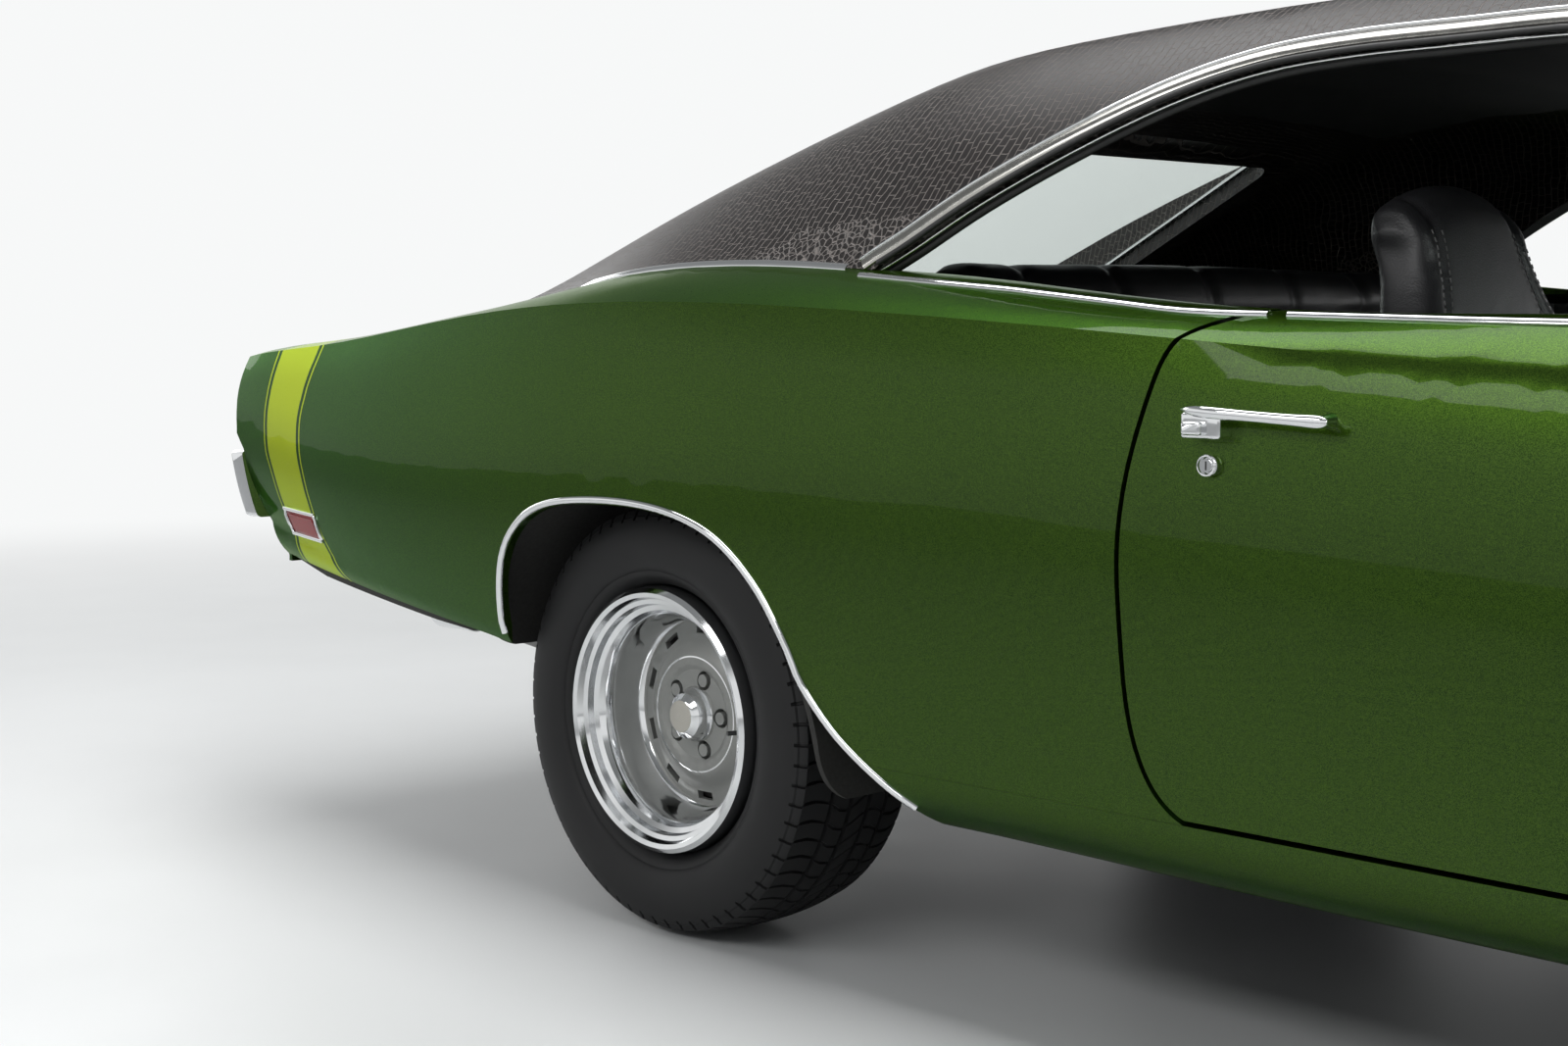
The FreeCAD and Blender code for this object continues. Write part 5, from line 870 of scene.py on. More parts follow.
def bench_back_fold(p):
    depth = grooves(abs(p.y), (0.0, 0.235, 0.450), 0.012, 0.009)
    if 0.60 < p.z < 0.93:
        depth += grooves(abs(p.y), (0.078, 0.157, 0.307, 0.378), 0.006, 0.007)
    return depth + groove(p.z - 0.955, 0.011, 0.009)


def bench_seat_warp(p):
    return Vector((p.x, p.y, p.z + 0.045 * (p.x + 0.93) / 0.37 - 0.05 * max(0.0, 1 - abs(p.y) / 0.13)))


def bench_seat_fold(p):
    depth = grooves(abs(p.y), (0.155, 0.500), 0.011, 0.009)
    if -0.88 < p.x < -0.60 and 0.155 < abs(p.y) < 0.5:
        depth += grooves(abs(p.y), (0.24, 0.328, 0.415), 0.006, 0.007)
    return (depth if p.z > 0.5 else 0.0) + groove(p.z - 0.480, 0.007, 0.007)


back = pad_block((-0.043, SEAT_Y - 0.252, 0.462), (0.043, SEAT_Y + 0.252, 1.128), 0.036, 22, back_warp)
cushion = pad_block((-0.085, SEAT_Y - 0.255, 0.335), (0.345, SEAT_Y + 0.255, 0.452), 0.034, 22, cushion_warp)
back, cushion = blown(back, 0.010, 0.0075, back_fold), blown(cushion, 0.012, 0.0085, cushion_fold)
for side, sign in SIDES:
    for kind, shape in (("back", back), ("cushion", cushion)):
        made = pad_piece("seat_%s_%s" % (kind, side), shape if sign > 0 else flipped(shape))
    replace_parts(made, "seat_front_" + side)

base = [rounded_block((x0, SEAT_Y + y0, z0), (x1, SEAT_Y + y1, z1), radius)
        for x0, y0, z0, x1, y1, z1, radius in ((-0.115, -0.215, 0.302, 0.310, 0.215, 0.352, 0.014),
                                               (-0.140, 0.238, 0.330, 0.020, 0.262, 0.470, 0.011),
                                               (-0.140, -0.262, 0.330, 0.020, -0.238, 0.470, 0.011))]
pair("seat_base", joined(base), "plastic")
rails = []
for y in (SEAT_Y - 0.19, SEAT_Y + 0.17):
    rails.append(rounded_block((-0.12, y, 0.2785), (0.300, y + 0.028, 0.300)))
    rails += [rounded_block((x, y - 0.008, 0.2770), (x + 0.035, y + 0.036, 0.2840), 0.003)
              for x in (-0.11, 0.27)]
pair("seat_rail", joined(rails), "steel")

# Short threads on both sides of the bolster seams
STITCH_GAP, STITCH_LENGTH, STITCH_AWAY = 0.011, 0.006, 0.011
back_tree = BVHTree.FromPolygons(*back), ["seat_back"] * len(back[1])
threads = []
for away, sign in ((-1, -1), (-1, 1), (1, -1), (1, 1)):
    heights = [0.50 + 0.56 * k / 23 for k in range(24)]
    line = found(hit((0.3, SEAT_Y + sign * (back_half(z) * 0.66 + away * STITCH_AWAY), z), ASTERN, back_tree)
                 for z in heights)[0]
    points = smooth_line([point + AHEAD * 0.0012 for point in line], STITCH_GAP)
    for a, b in zip(points[:-1], points[1:]):
        threads.append(sweep([a, a + (b - a).normalized() * STITCH_LENGTH], [AHEAD] * 2, circle(0.0011, 5)))
pair("seat_back_stitch", joined(threads), "thread")

back = pad_block((-0.060, -0.605, 0.560), (0.060, 0.605, 1.042), 0.040, 30, bench_back_warp)
cushion = pad_block((-0.905, -0.560, 0.430), (-0.555, 0.560, 0.540), 0.040, 30, bench_seat_warp)
back, cushion = blown(back, 0.014, 0.011, bench_back_fold), blown(cushion, 0.014, 0.011, bench_seat_fold)
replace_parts(pad_piece("rear_seat_back", back), "rear_seat")
pad_piece("rear_seat_cushion", cushion)

# Tyres with grooves, shoulder blocks and ribs: (radius, across) of the sidewall, then (middle, half width)
SIDEWALL = [
    (0.2083, 0.088), (0.2085, 0.096), (0.213, 0.103), (0.22, 0.112), (0.226, 0.116), (0.23, 0.1165),
    (0.232, 0.1195), (0.239, 0.123), (0.25, 0.1262), (0.262, 0.128), (0.276, 0.1277), (0.29, 0.126),
    (0.3, 0.1238), (0.308, 0.1205), (0.313, 0.1185), (0.315, 0.1155), (0.32, 0.1135), (0.325, 0.1085)]
GROOVES = ((-0.058, 0.0042), (-0.0195, 0.0045), (0.0195, 0.0045), (0.058, 0.0042))
GROOVE_DEPTH = 0.0075
TREAD_HALF, SHOULDER, BLOCK_ROOT = 0.104, 0.064, 0.312
BLOCKS = 66
# Stations round one block: share of its length, and whether the cut between blocks is there
BLOCK_STATIONS = ((0.0, False), (0.035, True), (0.150, True), (0.185, False), (0.45, False), (0.72, False))


def tyre_shape():
    tread = [-TREAD_HALF, TREAD_HALF, -0.086, -0.072, -0.040, 0.0, 0.040, 0.072, 0.086]
    tread += [middle + half * share for middle, half in GROOVES for share in (-1, -0.7, 0.7, 1)]
    outline = [(radius, -across, False) for radius, across in SIDEWALL]
    outline += [(TYRE_RADIUS - 0.0105 * (abs(a) / TREAD_HALF) ** 2.6, a, True) for a in sorted(tread)]
    outline += [(radius, across, False) for radius, across in reversed(SIDEWALL)]
    size, rings = len(outline), BLOCKS * len(BLOCK_STATIONS)
    corners, faces = [], []
    for block in range(BLOCKS):
        for share, cut in BLOCK_STATIONS:
            for radius, across, treads in outline:
                turn = (block + share) / BLOCKS
                shoulder = abs(across) > SHOULDER
                if treads:
                    turn += 0.42 / BLOCKS * math.sin(across * 55) * (0.6 if shoulder else 1.0)
                    if any(abs(across - middle) < half * 0.8 for middle, half in GROOVES):
                        radius -= GROOVE_DEPTH
                    elif cut:
                        radius -= GROOVE_DEPTH * (0.9 if shoulder else 0.45)
                elif cut and radius > BLOCK_ROOT:
                    radius -= 0.003
                    across -= math.copysign(0.003, across)
                angle = 2 * math.pi * turn
                corners.append(Vector((radius * math.cos(angle), across, radius * math.sin(angle))))
    for k in range(rings):
        a, b = k * size, (k + 1) % rings * size
        faces += [(a + i, a + (i + 1) % size, b + (i + 1) % size, b + i) for i in range(size)]
    return corners, faces


corners, faces = tyre_shape()
for end, axle in (("front", FRONT_AXLE), ("rear", REAR_AXLE)):
    for side, sign in SIDES:
        corner = "%s_%s" % (end, side)
        hub = Vector((axle, sign * WHEEL_PLANE, TYRE_RADIUS))
        made = piece("tread_tyre_" + corner, ([c + hub for c in corners], faces), "tyre", "wheel_" + corner)
        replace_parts(made, "tyre_" + corner)
        valve = [hub + Vector((x, sign * y, 0)) for x, y in ((0.168, 0.095), (0.160, 0.116))]
        piece("valve_" + corner, tube(valve, 0.0035, 10), "black", "wheel_" + corner)


def ring_strip(place_at, corners, radius, profile, step=0.012):
    """A strip round a closed outline, laid on the surface that place_at finds."""
    flat = smooth_line(rounded_loop(corners, radius, 4), step, True)
    return sweep(*found(place_at(p.x, p.y) for p in flat), profile, True)


# Tail: dark panel, lamp bezels and ribs, back-up lamps, lock, filler cap
TAIL = tree_of("tail_panel")
LAMPS = tree_of("tail_lamps")
VALANCE = tree_of("tail_panel", "rear_valance")
LAMP_INNER, LAMP_OUTER, LAMP_LEVEL = 0.150, 0.730, 0.785

piece("tail_dark_panel", lining(lambda u, v: on_tail(-0.775 + 1.55 * u, 0.716 + 0.142 * v, TAIL)[:2], 60, 6,
                                lambda u, v: 0.0025), "black")
for side, sign in SIDES:
    y0, y1 = sorted((sign * LAMP_INNER, sign * LAMP_OUTER))

    def lamp_edge(y, z):
        """Place beside the lens, as deep as the lens a little further in."""
        inner = sign * min(max(abs(y), 0.172), 0.708)
        point, normal, _ = on_tail(inner, LAMP_LEVEL + (z - LAMP_LEVEL) * 0.7, LAMPS)
        return Vector((point.x, y, z)), normal

    edge = [(y0 - 0.003, 0.735), (y1 + 0.003, 0.735), (y1 + 0.003, 0.835), (y0 - 0.003, 0.835)]
    piece("tail_lamp_bezel_" + side, ring_strip(lamp_edge, edge, 0.032, bead(0.011, 0.0025, 0.008)))
    ribs = []
    for level in (0.762, LAMP_LEVEL, 0.808):
        line = [y0 + 0.020 + (y1 - y0 - 0.040) * k / 16 for k in range(17)]
        ribs.append(sweep(*found(on_tail(y, level, LAMPS) for y in line), bead(0.0035, 0.0030, 0.001)))
    piece("tail_lamp_ribs_" + side, joined(ribs), "red_lens")
    edge = [(sign * y, z) for y, z in ((0.285, 0.522), (0.425, 0.522), (0.425, 0.562), (0.285, 0.562))]
    piece("backup_bezel_" + side, ring_strip(lambda y, z: on_tail(y, z, VALANCE), edge[::sign], 0.010,
                                             bead(0.009, 0.010, 0.004), 0.008))
    pad = lining(lambda u, v: on_tail(sign * (0.287 + 0.136 * u), 0.524 + 0.036 * v, VALANCE)[:2], 14, 5,
                 lambda u, v: 0.007 + 0.003 * math.sin(math.pi * v), 0.002)
    piece("backup_lens_" + side, pad, "clear_lens")

lock = [(0.0, 0.0045), (0.0075, 0.0045), (0.0085, 0.006), (0.0135, 0.0055), (0.0165, 0.003), (0.0170, -0.002)]
piece("deck_lock", lathe(lock, *on_tail(0.0, 0.868, TAIL)[:2], 28))

cap_at, cap_way, _ = on_top(-2.150, 0.765, tree_of("quarter_panel_left"))
cap = [(0.0, 0.0125), (0.012, 0.0125), (0.014, 0.0105), (0.034, 0.0100), (0.037, 0.0120), (0.047, 0.0105),
       (0.052, 0.0060), (0.0535, -0.0020)]
piece("filler_cap", lathe(cap, cap_at, cap_way, 48))
bolts = []
for k in range(6):
    out = Matrix.Rotation(2 * math.pi * k / 6, 4, cap_way) @ cap_way.orthogonal().normalized()
    bolts.append(lathe([(0.0, 0.0032), (0.0028, 0.0030), (0.0040, 0.0012), (0.0042, -0.001)],
                       cap_at + out * 0.042 + cap_way * 0.0108, cap_way, 10))
piece("filler_bolts", joined(bolts), "steel")

# Side marker bezels: the rear outline was read from the photo, the front one is the lamp's box
MARKERS = tree_of("marker_lamps")
MARKER_SKIN = tree_of("quarter_panel_left", "front_fender_left")
ahead = [v.co for v in nodes["marker_lamps"].data.vertices if v.co.x > 0 and v.co.y > 0]
x0, x1, z0, z1 = (pick(c[axis] for c in ahead) for axis in (0, 2) for pick in (min, max))
for end, corners in (("rear", [(-2.4215, 0.6005), (-2.2825, 0.5955), (-2.2645, 0.5485), (-2.4025, 0.5545)]),
                     ("front", [(x0, z1), (x1, z1), (x1, z0), (x0, z0)])):
    middle = Vector((sum(c[0] for c in corners) / 4, sum(c[1] for c in corners) / 4))

    def marker_at(x, z):
        """Place over the lamp's rim, on the outermost lamp surface just inside it."""
        point, normal, _ = on_side(x, z, MARKER_SKIN)
        inner = [middle + (Vector((x, z)) - middle) * share for share in (0.98, 0.93, 0.86)]
        reach = [p.y for p in found(on_side(p.x, p.y, MARKERS) for p in inner)[0]]
        return Vector((x, max(reach or [point.y]), z)), normal

    pair("marker_bezel_" + end, ring_strip(marker_at, corners, 0.006, bead(0.0075, 0.0028, 0.003), 0.006))

# Windshield trim, found as the edge of the glass seen from above
SHIELD = tree_of("windshield")
SHIELD_MIDDLE, SHIELD_REACH, SHIELD_INSET = Vector((0.50, 0.0)), 0.95, 0.006
loop = []
for k in range(240):
    way = Vector((math.cos(2 * math.pi * k / 240), math.sin(2 * math.pi * k / 240)))

    def glass_at(reach):
        return on_top(*(SHIELD_MIDDLE + way * reach), SHIELD)[0]

    loop.append(glass_at(last_true(0.0, SHIELD_REACH, glass_at, 18)[0] - SHIELD_INSET))
for _ in range(3):
    loop = [(loop[k - 1] + loop[k] * 2 + neighbour(loop, k + 1, True)) / 4 for k in range(len(loop))]
loop = smooth_line(loop[::2], 0.016, True)
inner = [point.xy.lerp(SHIELD_MIDDLE, 0.04) for point in loop]
normals = [on_top(p.x, p.y, SHIELD)[1] or Vector((0.6, 0, 0.8)) for p in inner]
piece("windshield_trim", sweep(loop, normals, bead(0.020, 0.006, 0.004), True))

# Wipers: pivot, tip and middle of each
WIPER_SKIN = tree_of("cowl_panel", "windshield")
for side, pivot, tip, mid in (("left", (0.905, 0.40), (0.800, -0.02), (0.860, 0.20)),
                              ("right", (0.905, -0.22), (0.800, -0.60), (0.860, -0.41))):
    shoulder = on_top(*pivot, WIPER_SKIN)[0]
    arm_end = on_top(*mid, SHIELD)[0] + UP * 0.020
    near, far = (on_top(x, y, SHIELD)[0] + UP * 0.012 for x, y in ((mid[0] + 0.010, mid[1] + 0.17), tip))
    hub = lathe([(0.0, 0.030), (0.010, 0.028), (0.014, 0.018), (0.015, 0.0)], shoulder, UP, 18)
    arm = tube([shoulder + UP * 0.022, (shoulder + arm_end) / 2 + UP * 0.014, arm_end], 0.0042)
    piece("wiper_arm_" + side, joined([hub, arm]), "steel")
    piece("wiper_blade_" + side, tube(smooth_line([near, arm_end - UP * 0.003, far], 0.03), 0.0045), "black")

COWL = tree_of("cowl_panel")
# Black strips on the cowl: painted shade of the vent slots' openings
slot_shades = []
for y in (-0.58 + 1.16 * k / 29 for k in range(30)):
    line = found(on_top(x, y, COWL) for x in (0.925, 0.940, 0.955))
    if abs(y) > 0.03 and len(line[0]) == 3:
        slot_shades.append(sweep(*line, bead(0.009, 0.0012, 0.001)))
piece("cowl_slot_shade", joined(slot_shades), "black")

NOSE = tree_of("front_valance")
for side, sign in SIDES:
    y0, y1 = sorted((sign * 0.478, sign * 0.642))
    edge = [(y0, 0.362), (y1, 0.362), (y1, 0.422), (y0, 0.422)]
    piece("parking_bezel_" + side, ring_strip(lambda y, z: on_nose(y, z, NOSE), edge, 0.024,
                                              bead(0.008, 0.005, 0.002), 0.01))

# Door locks with their keyholes
for side, sign in SIDES:
    out = LEFT * sign
    spot = hit((-0.246, sign * 1.4, 0.775), -out, tree_of("door_handle_" + side))[0]
    ring = lathe([(0.0105, 0.0), (0.0108, 0.0012), (0.0120, 0.0014), (0.0128, 0.0004)], spot, out, 24)
    piece("lock_ring_" + side, ring, body="door_" + side)
    # The keyhole is a black slug over the key slot: painted shade
    half = Vector((0.0010, 0, 0.0052))
    piece("keyhole_shade_" + side, rounded_block(spot - half, spot + half + out * 0.0006, 0.0005, 1), "black",
          "door_" + side)

# Mirror glass and its rim, drawn out sideways
MIRROR_AT = Vector((0.6150, 0.880, 1.005))
for name, look, outline in (
        ("mirror_glass", "mirror", [(0.0, 0.0020), (0.030, 0.0019), (0.0335, 0.0012), (0.0345, -0.0010)]),
        ("mirror_rim", "chrome", [(0.0335, -0.002), (0.0340, 0.0030), (0.0365, 0.0030), (0.0375, -0.002)])):
    corners, faces = lathe(outline, MIRROR_AT, ASTERN, 40)
    corners = [Vector((c.x, MIRROR_AT.y + (c.y - MIRROR_AT.y) * 1.35, c.z)) for c in corners]
    piece(name, (corners, faces), look, "door_left")

# Cabin linings
FLOOR = tree_of("floor_pan")
QUARTER_INNER = tree_of("quarter_panel_left", "wheelhouses")
NOT_FOUND = (None, None)
HEADER_HEIGHT = 1.13


def carpet_at(u, v):
    x, y = -0.93 + 1.78 * u, -0.742 + 1.484 * v
    point, normal, _ = hit((x, y, 0.60 if abs(y) > 0.2 else 0.56), DOWN, FLOOR)
    return NOT_FOUND if point is None or point.z > 0.55 or normal.z < 0.2 else (point, UP)


def headliner_at(u, v):
    point = hit((-0.93 + 1.07 * u, -0.50 + 1.0 * v, HEADER_HEIGHT), UP, ROOF)[0]
    return (point, DOWN) if point is not None and point.z > 1.2 else NOT_FOUND


def headliner_rise(u, v):
    """Cloth bows across the roof every 22 cm."""
    return 0.007 + 0.005 * abs(math.sin(math.pi * u * 5))


def quarter_trim_at(u, v):
    point = hit((-0.915 + 0.640 * u, 0.60, 0.60 + 0.388 * v), LEFT, QUARTER_INNER)[0]
    return (point, RIGHT) if point is not None and point.y < 0.90 else NOT_FOUND


def quarter_trim_rise(u, v):
    depth = 0.016 + 0.005 * math.sin(math.pi * v)
    depth -= groove(v - 0.80, 0.007, 0.012) + groove(v - 0.42, 0.006, 0.012)
    return depth - (groove(u * 6 % 1.0 - 0.5, 0.005, 0.05) if v > 0.80 else 0.0)


def door_trim_rise(u, v):
    depth = 0.009 + 0.004 * math.sin(math.pi * v) - grooves(v, (0.86, 0.27), 0.006, 0.010)
    return depth - (groove(u * 14 % 1.0 - 0.5, 0.004, 0.07) if 0.27 < v < 0.86 else 0.0)


piece("carpet", lining(carpet_at, 90, 76, lambda u, v: 0.006), "carpet")
piece("headliner", lining(headliner_at, 60, 30, headliner_rise), "headliner")
pair("quarter_trim", lining(quarter_trim_at, 72, 48, quarter_trim_rise), "seat")

# Door cards with armrest, crank, handle and bright line
DOOR_PLANE = 0.7885
for side, sign in SIDES:
    door, body, inward = tree_of("door_" + side), "door_" + side, LEFT * -sign

    def card(x, depth, z):
        """Place at a depth from the card towards the cabin."""
        return Vector((x, sign * (DOOR_PLANE - depth), z))

    def door_trim_at(u, v):
        x, z = -0.205 + 0.985 * u, 0.385 + 0.556 * v
        inside = hit((x, sign * 0.55, z), -inward, door)[0] is not None
        return (card(x, 0, z), inward) if inside else NOT_FOUND

    piece("door_trim_" + side, lining(door_trim_at, 150, 60, door_trim_rise), "seat", body)
    rest = rounded_block(card(-0.02, 0.055, 0.655), card(0.34, -0.002, 0.700), 0.018, 5)
    piece("armrest_" + side, rest, "seat", body)
    spindle = card(0.47, 0.010, 0.64)
    plate = lathe([(0.0, 0.014), (0.012, 0.013), (0.022, 0.006), (0.024, -0.004)], spindle, inward, 24)
    crank = tube([card(0.47, 0.022, 0.64), card(0.43, 0.032, 0.66), card(0.375, 0.036, 0.685)], 0.0055, 10)
    knob = lathe([(0.0, 0.030), (0.009, 0.028), (0.012, 0.018), (0.010, 0.004), (0.007, 0.0)],
                 card(0.375, 0.034, 0.685), inward, 16)
    piece("window_crank_" + side, joined([plate, crank]), "chrome", body)
    piece("crank_knob_" + side, knob, "black", body)
    pull = smooth_line([card(0.60, 0.010, 0.775), card(0.57, 0.026, 0.778), card(0.50, 0.024, 0.782)], 0.01)
    piece("inner_handle_" + side, tube(pull, 0.006, 10), "chrome", body)
    strip = [card(-0.19 + 0.95 * k / 24, 0.0125, 0.832) for k in range(25)]
    piece("door_trim_line_" + side, sweep(strip, [inward] * 25, bead(0.010, 0.0035, 0.003)), "chrome", body)

# Dash: dials, glove box, inlay, radio, dash roll
DASH = tree_of("dashboard")
LARGE_DIAL, SMALL_DIAL = 0.047, 0.027
DIAL_SWEEP, NEEDLE_AT = 130, math.radians(-118)
FACE_WAY = Vector((-1, 0, 0.12)).normalized()
FACE_UP = FACE_WAY.cross(RIGHT).normalized()


def on_dash(y, z):
    return hit((0.20, y, z), AHEAD, DASH)


rings, dials, marks = [], [], []
for y, z, radius in ((0.500, 0.800, LARGE_DIAL), (0.395, 0.800, LARGE_DIAL), (0.310, 0.815, SMALL_DIAL),
                     (0.310, 0.750, SMALL_DIAL), (0.245, 0.815, SMALL_DIAL), (0.245, 0.750, SMALL_DIAL)):
    spot = Vector((min(on_dash(y, z + radius * share)[0].x for share in (-0.8, 0.8)), y, z))
    rings.append(lathe([(radius - 0.004, -0.006), (radius - 0.003, 0.006), (radius + 0.001, 0.009),
                        (radius + 0.004, 0.006), (radius + 0.005, -0.012)], spot, FACE_WAY, 36))
    dials.append(lathe([(0.0, 0.002), (radius - 0.003, 0.002), (radius - 0.002, -0.010)], spot, FACE_WAY, 36))

    def mark(turn, lift, near, far, size):
        out = RIGHT * math.sin(turn) + FACE_UP * math.cos(turn)
        ends = [spot + FACE_WAY * lift + out * radius * share for share in (near, far)]
        marks.append(sweep(ends, [FACE_WAY] * 2, circle(size, 4)))

    ticks = 12 if radius == LARGE_DIAL else 6
    for k in range(ticks + 1):
        mark(math.radians(DIAL_SWEEP * (2 * k / ticks - 1)), 0.0026, 0.70, 0.86, 0.0008)
    mark(NEEDLE_AT, 0.0034, -0.12, 0.66, 0.0009)
piece("dial_rings", joined(rings))
piece("dial_faces", joined(dials), "dial_face")
piece("dial_marks", joined(marks), "dial_mark")


def dash_panel(y0, y1, z0, z1, rise, columns=24, rows=14):
    """A pad on the dash, thinner at its edges."""
    def panel_rise(u, v):
        edge = min(u * columns, (1 - u) * columns, v * rows, (1 - v) * rows, 1.5) / 1.5
        return rise * (0.35 + 0.65 * edge)

    return lining(lambda u, v: on_dash(y0 + (y1 - y0) * u, z0 + (z1 - z0) * v)[:2], columns, rows, panel_rise)


piece("glove_box", dash_panel(-0.600, -0.250, 0.745, 0.845, 0.006), "plastic")
piece("dash_inlay", dash_panel(-0.150, 0.150, 0.765, 0.840, 0.003), "inlay")
x = on_dash(0.0, 0.800)[0].x
radio = [rounded_block((x - 0.012, -0.075, 0.782), (x + 0.01, 0.075, 0.820))]
radio += [lathe([(0.0, 0.026), (0.009, 0.025), (0.011, 0.018), (0.012, -0.010)], (x, y, 0.800), ASTERN, 20)
          for y in (-0.098, 0.098)]
radio += [rounded_block((x - 0.017, y, 0.7855), (x - 0.008, y + 0.016, 0.7925), 0.002)
          for y in (-0.052 + k * 0.022 for k in range(5))]
piece("radio", joined(radio))
roll = found(on_dash(-0.66 + 1.32 * k / 40, 0.893) for k in range(41))[0]
piece("dash_roll", tube(roll, 0.011, 12), "seat")

# Pedals, shifter boot, console plate, visors, mirror inside
pedals, arms = [], []
for y, width, z, height in ((0.47, 0.070, 0.400, 0.058), (0.33, 0.085, 0.400, 0.058),
                            (0.235, 0.045, 0.365, 0.12)):
    pedals.append(rounded_block((0.795, y - width / 2, z), (0.812, y + width / 2, z + height), 0.005))
    arms.append(tube([(0.806, y, z + 0.040), (0.835, y, z + 0.14), (0.872, y, 0.660)], 0.006))
piece("pedal_pads", joined(pedals), "tyre")
piece("pedal_arms", joined(arms), "steel")

boot = [(0.050 * (1 - k / 8) ** 0.7 + 0.010 + 0.003 * (k % 2), 0.055 * k / 8) for k in range(9)]
boot = lathe([(0.0, -0.002)] + boot + [(0.0, 0.056)], (x_at(0.565), 0, 0.642), (-0.2, 0, 1), 28)
piece("shifter_boot", boot, "seat")
plate = rounded_block((x_at(0.47), -0.070, 0.638), (x_at(0.600), 0.070, 0.6435), 0.002)
piece("console_plate", plate, "argent")

for side, sign in SIDES:
    z = hit((0.150, sign * 0.30, HEADER_HEIGHT), UP, ROOF)[0].z
    visor = rounded_block((0.020, sign * 0.075, z - 0.030), (0.165, sign * 0.430, z - 0.010), 0.009, 4)
    piece("sun_visor_" + side, visor, "headliner")
header = hit((0.130, 0.0, HEADER_HEIGHT), UP, ROOF)[0]
stem = [header + Vector((x, 0, z)) for x, z in ((0.02, 0.002), (0.0, -0.030), (-0.012, -0.058))]
piece("inner_mirror_stem", tube(stem, 0.005))
low, high = header + Vector((-0.020, -0.115, -0.104)), header + Vector((-0.002, 0.115, -0.052))
piece("inner_mirror", rounded_block(low, high, 0.008))

# Exhaust tips
pipe_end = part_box("exhaust")[0].x
ends = [v.co for v in nodes["exhaust"].data.vertices if v.co.x < pipe_end + 0.004 and v.co.y > 0]
tip_at = sum(ends, Vector((0, 0, 0))) / len(ends)
radius = max((c - tip_at).length for c in ends)
tip = [(radius - 0.004, -0.020), (radius + 0.001, 0.004), (radius + 0.004, 0.005), (radius + 0.005, 0.000),
       (radius + 0.004, -0.110), (radius + 0.001, -0.112)]
pair("exhaust_tip", lathe(tip, tip_at, ASTERN, 32))
# Black disc across the pipe's mouth: soot, and painted shade of the dark inside of the pipe
soot_and_shade_disc = [(0.0, 0.0012), (radius - 0.004, 0.0012), (radius - 0.003, -0.004)]
pair("exhaust_soot_and_shade", lathe(soot_and_shade_disc, tip_at, ASTERN, 28), "black")

# Stage: a backdrop that is pale to well above the horizon and darker overhead, where no view looks
BACKGROUND = (0.93, 0.94, 0.94)
scene = bpy.context.scene
scene.view_settings.view_transform = "Standard"
scene.world = bpy.data.worlds.new("studio")
scene.world.use_nodes = True
sky = Nodes(scene.world.node_tree)
height = sky.parts(sky.node("TexCoord", output="Generated"))[2]
pale = sky.node("Background", {0: sky.ramp(height, ((0.30, BACKGROUND), (0.42, (0.30, 0.31, 0.31)),
                                                    (1.0, (0.16, 0.165, 0.17))))})
soft = sky.node("Background", {0: (0.86, 0.88, 0.90), 1: 0.40})
seen = sky.seen_by("Is Camera Ray", "Is Transmission Ray", "Is Glossy Ray")
sky.node("OutputWorld", {0: sky.node("MixShader", {0: seen, 1: soft, 2: pale})})

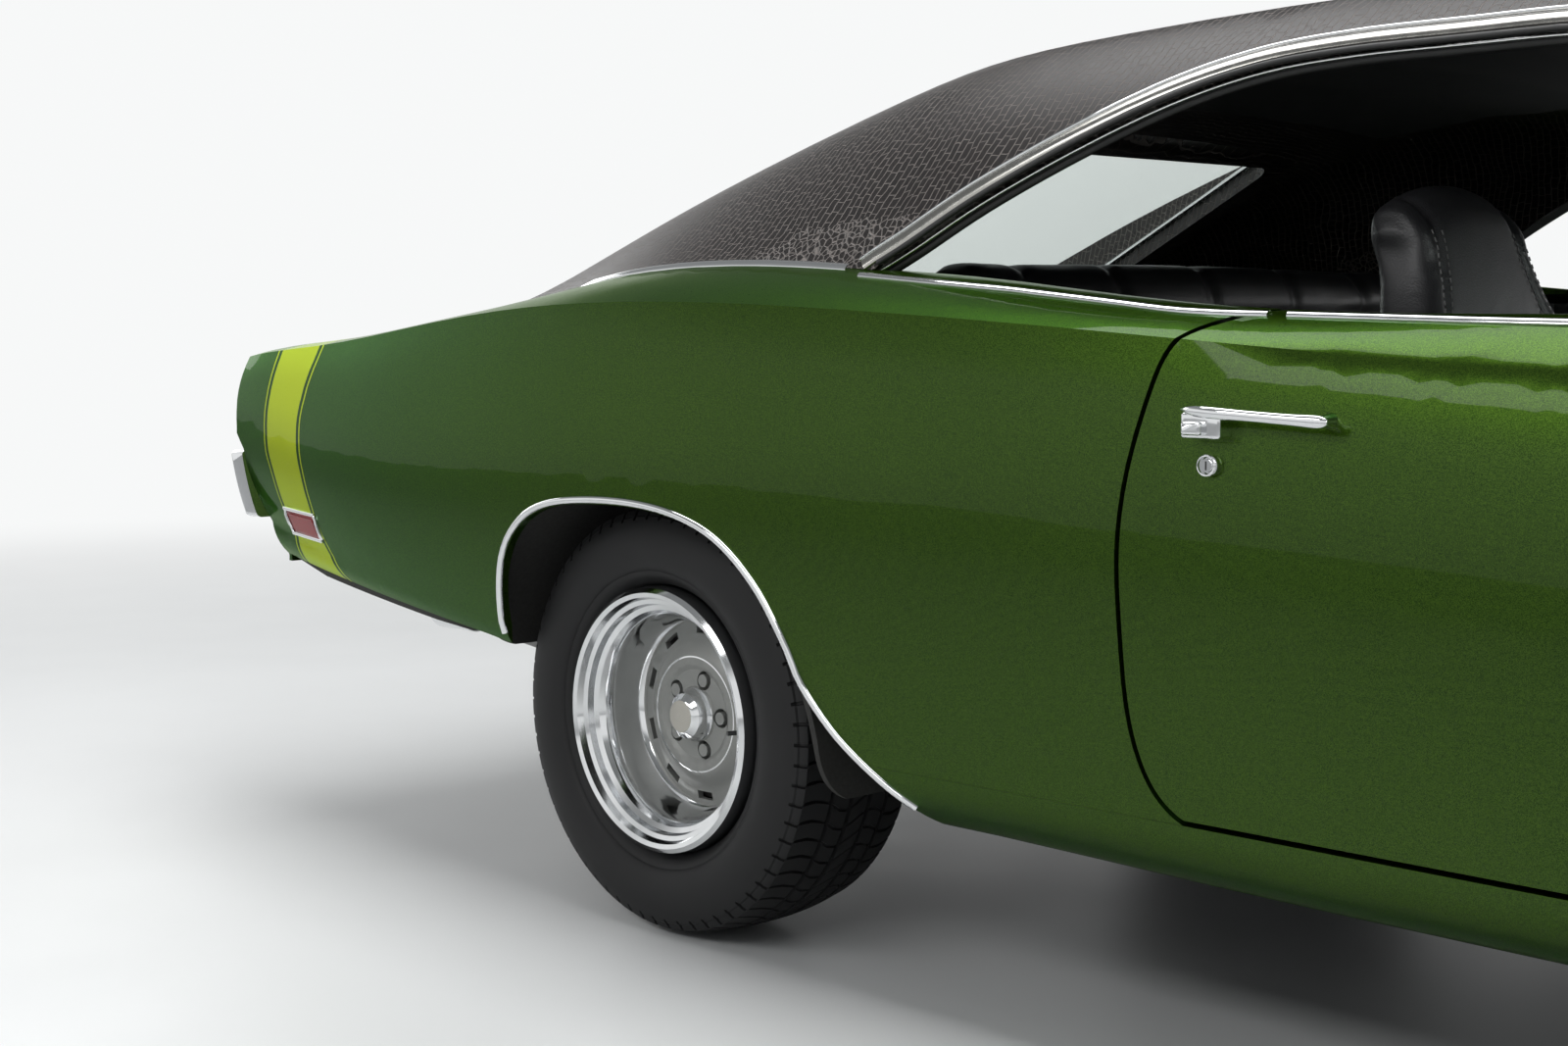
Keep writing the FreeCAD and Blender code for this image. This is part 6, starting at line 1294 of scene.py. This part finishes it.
# Far from the car the floor shows the background's own tone, so no edge or horizon is seen
floor = mesh_item("floor", ([(-30, -30, 0), (30, -30, 0), (30, 30, 0), (-30, 30, 0)], [(0, 1, 2, 3)]))
look = Look("floor_look")
away = look.node("VectorMath", {0: look.at}, "Value", operation="LENGTH")
fade = look.node("MapRange", {0: away, 1: 4.0, 2: 9.5}, interpolation_type="SMOOTHSTEP")
seen = fade * look.seen_by("Is Camera Ray", "Is Transmission Ray")
cover = look.node("MixShader", {0: seen, 1: look.shader, 2: look.node("Emission", {0: BACKGROUND})})
floor.data.materials.append(look.done(
    cover, Base_Color=look.mix(look.noise(0.6, 2), (0.60, 0.61, 0.61), (0.66, 0.67, 0.67)),
    Roughness=look.span(look.noise(3, 2), 0.32, 0.45)))
floor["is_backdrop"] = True

for name, at, aim, size, power in (
        ("overhead", (-0.4, -0.6, 4.8), (-0.4, 0, 0), (7.0, 2.6), 250),
        ("side", (-0.6, -6.0, 4.2), (-0.6, 0, 0.6), (7.0, 1.2), 130),
        ("far", (0.5, 6.0, 3.6), (0, 0, 0.8), (7.0, 1.8), 130),
        ("tail", (-7.0, 0.0, 2.6), (-2, 0, 0.6), (3.0, 2.0), 45),
        ("nose", (7.0, 0.0, 2.6), (2, 0, 0.6), (3.0, 2.0), 45)):
    data = bpy.data.lights.new(name, "AREA")
    data.shape, data.energy = "RECTANGLE", power
    data.size, data.size_y = size
    lamp = bpy.data.objects.new(name, data)
    lamp.location = at
    lamp.rotation_euler = (Vector(aim) - Vector(at)).to_track_quat("-Z", "Y").to_euler()
    scene.collection.objects.link(lamp)

# The photo's camera: its focal length in pixels of the photo's width, and its turns in degrees
FOCAL_PIXELS, PHOTO_WIDTH, SENSOR = 2286, 1600, 36
YAW, PITCH, ROLL = (math.radians(turn) for turn in (46.73, 5.0, -0.28))
data = bpy.data.cameras.new("camera")
data.sensor_width, data.lens = SENSOR, SENSOR * FOCAL_PIXELS / PHOTO_WIDTH
camera = bpy.data.objects.new("camera", data)
scene.collection.objects.link(camera)
camera.location = (1.290, -3.060, 0.936)
forward = Vector((-math.sin(YAW) * math.cos(PITCH), math.cos(YAW) * math.cos(PITCH), -math.sin(PITCH)))
aim = forward.to_track_quat("-Z", "Y").to_matrix().to_4x4()
camera.rotation_euler = (aim @ Matrix.Rotation(ROLL, 4, "Z")).to_euler()
scene.camera = camera

low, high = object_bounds()
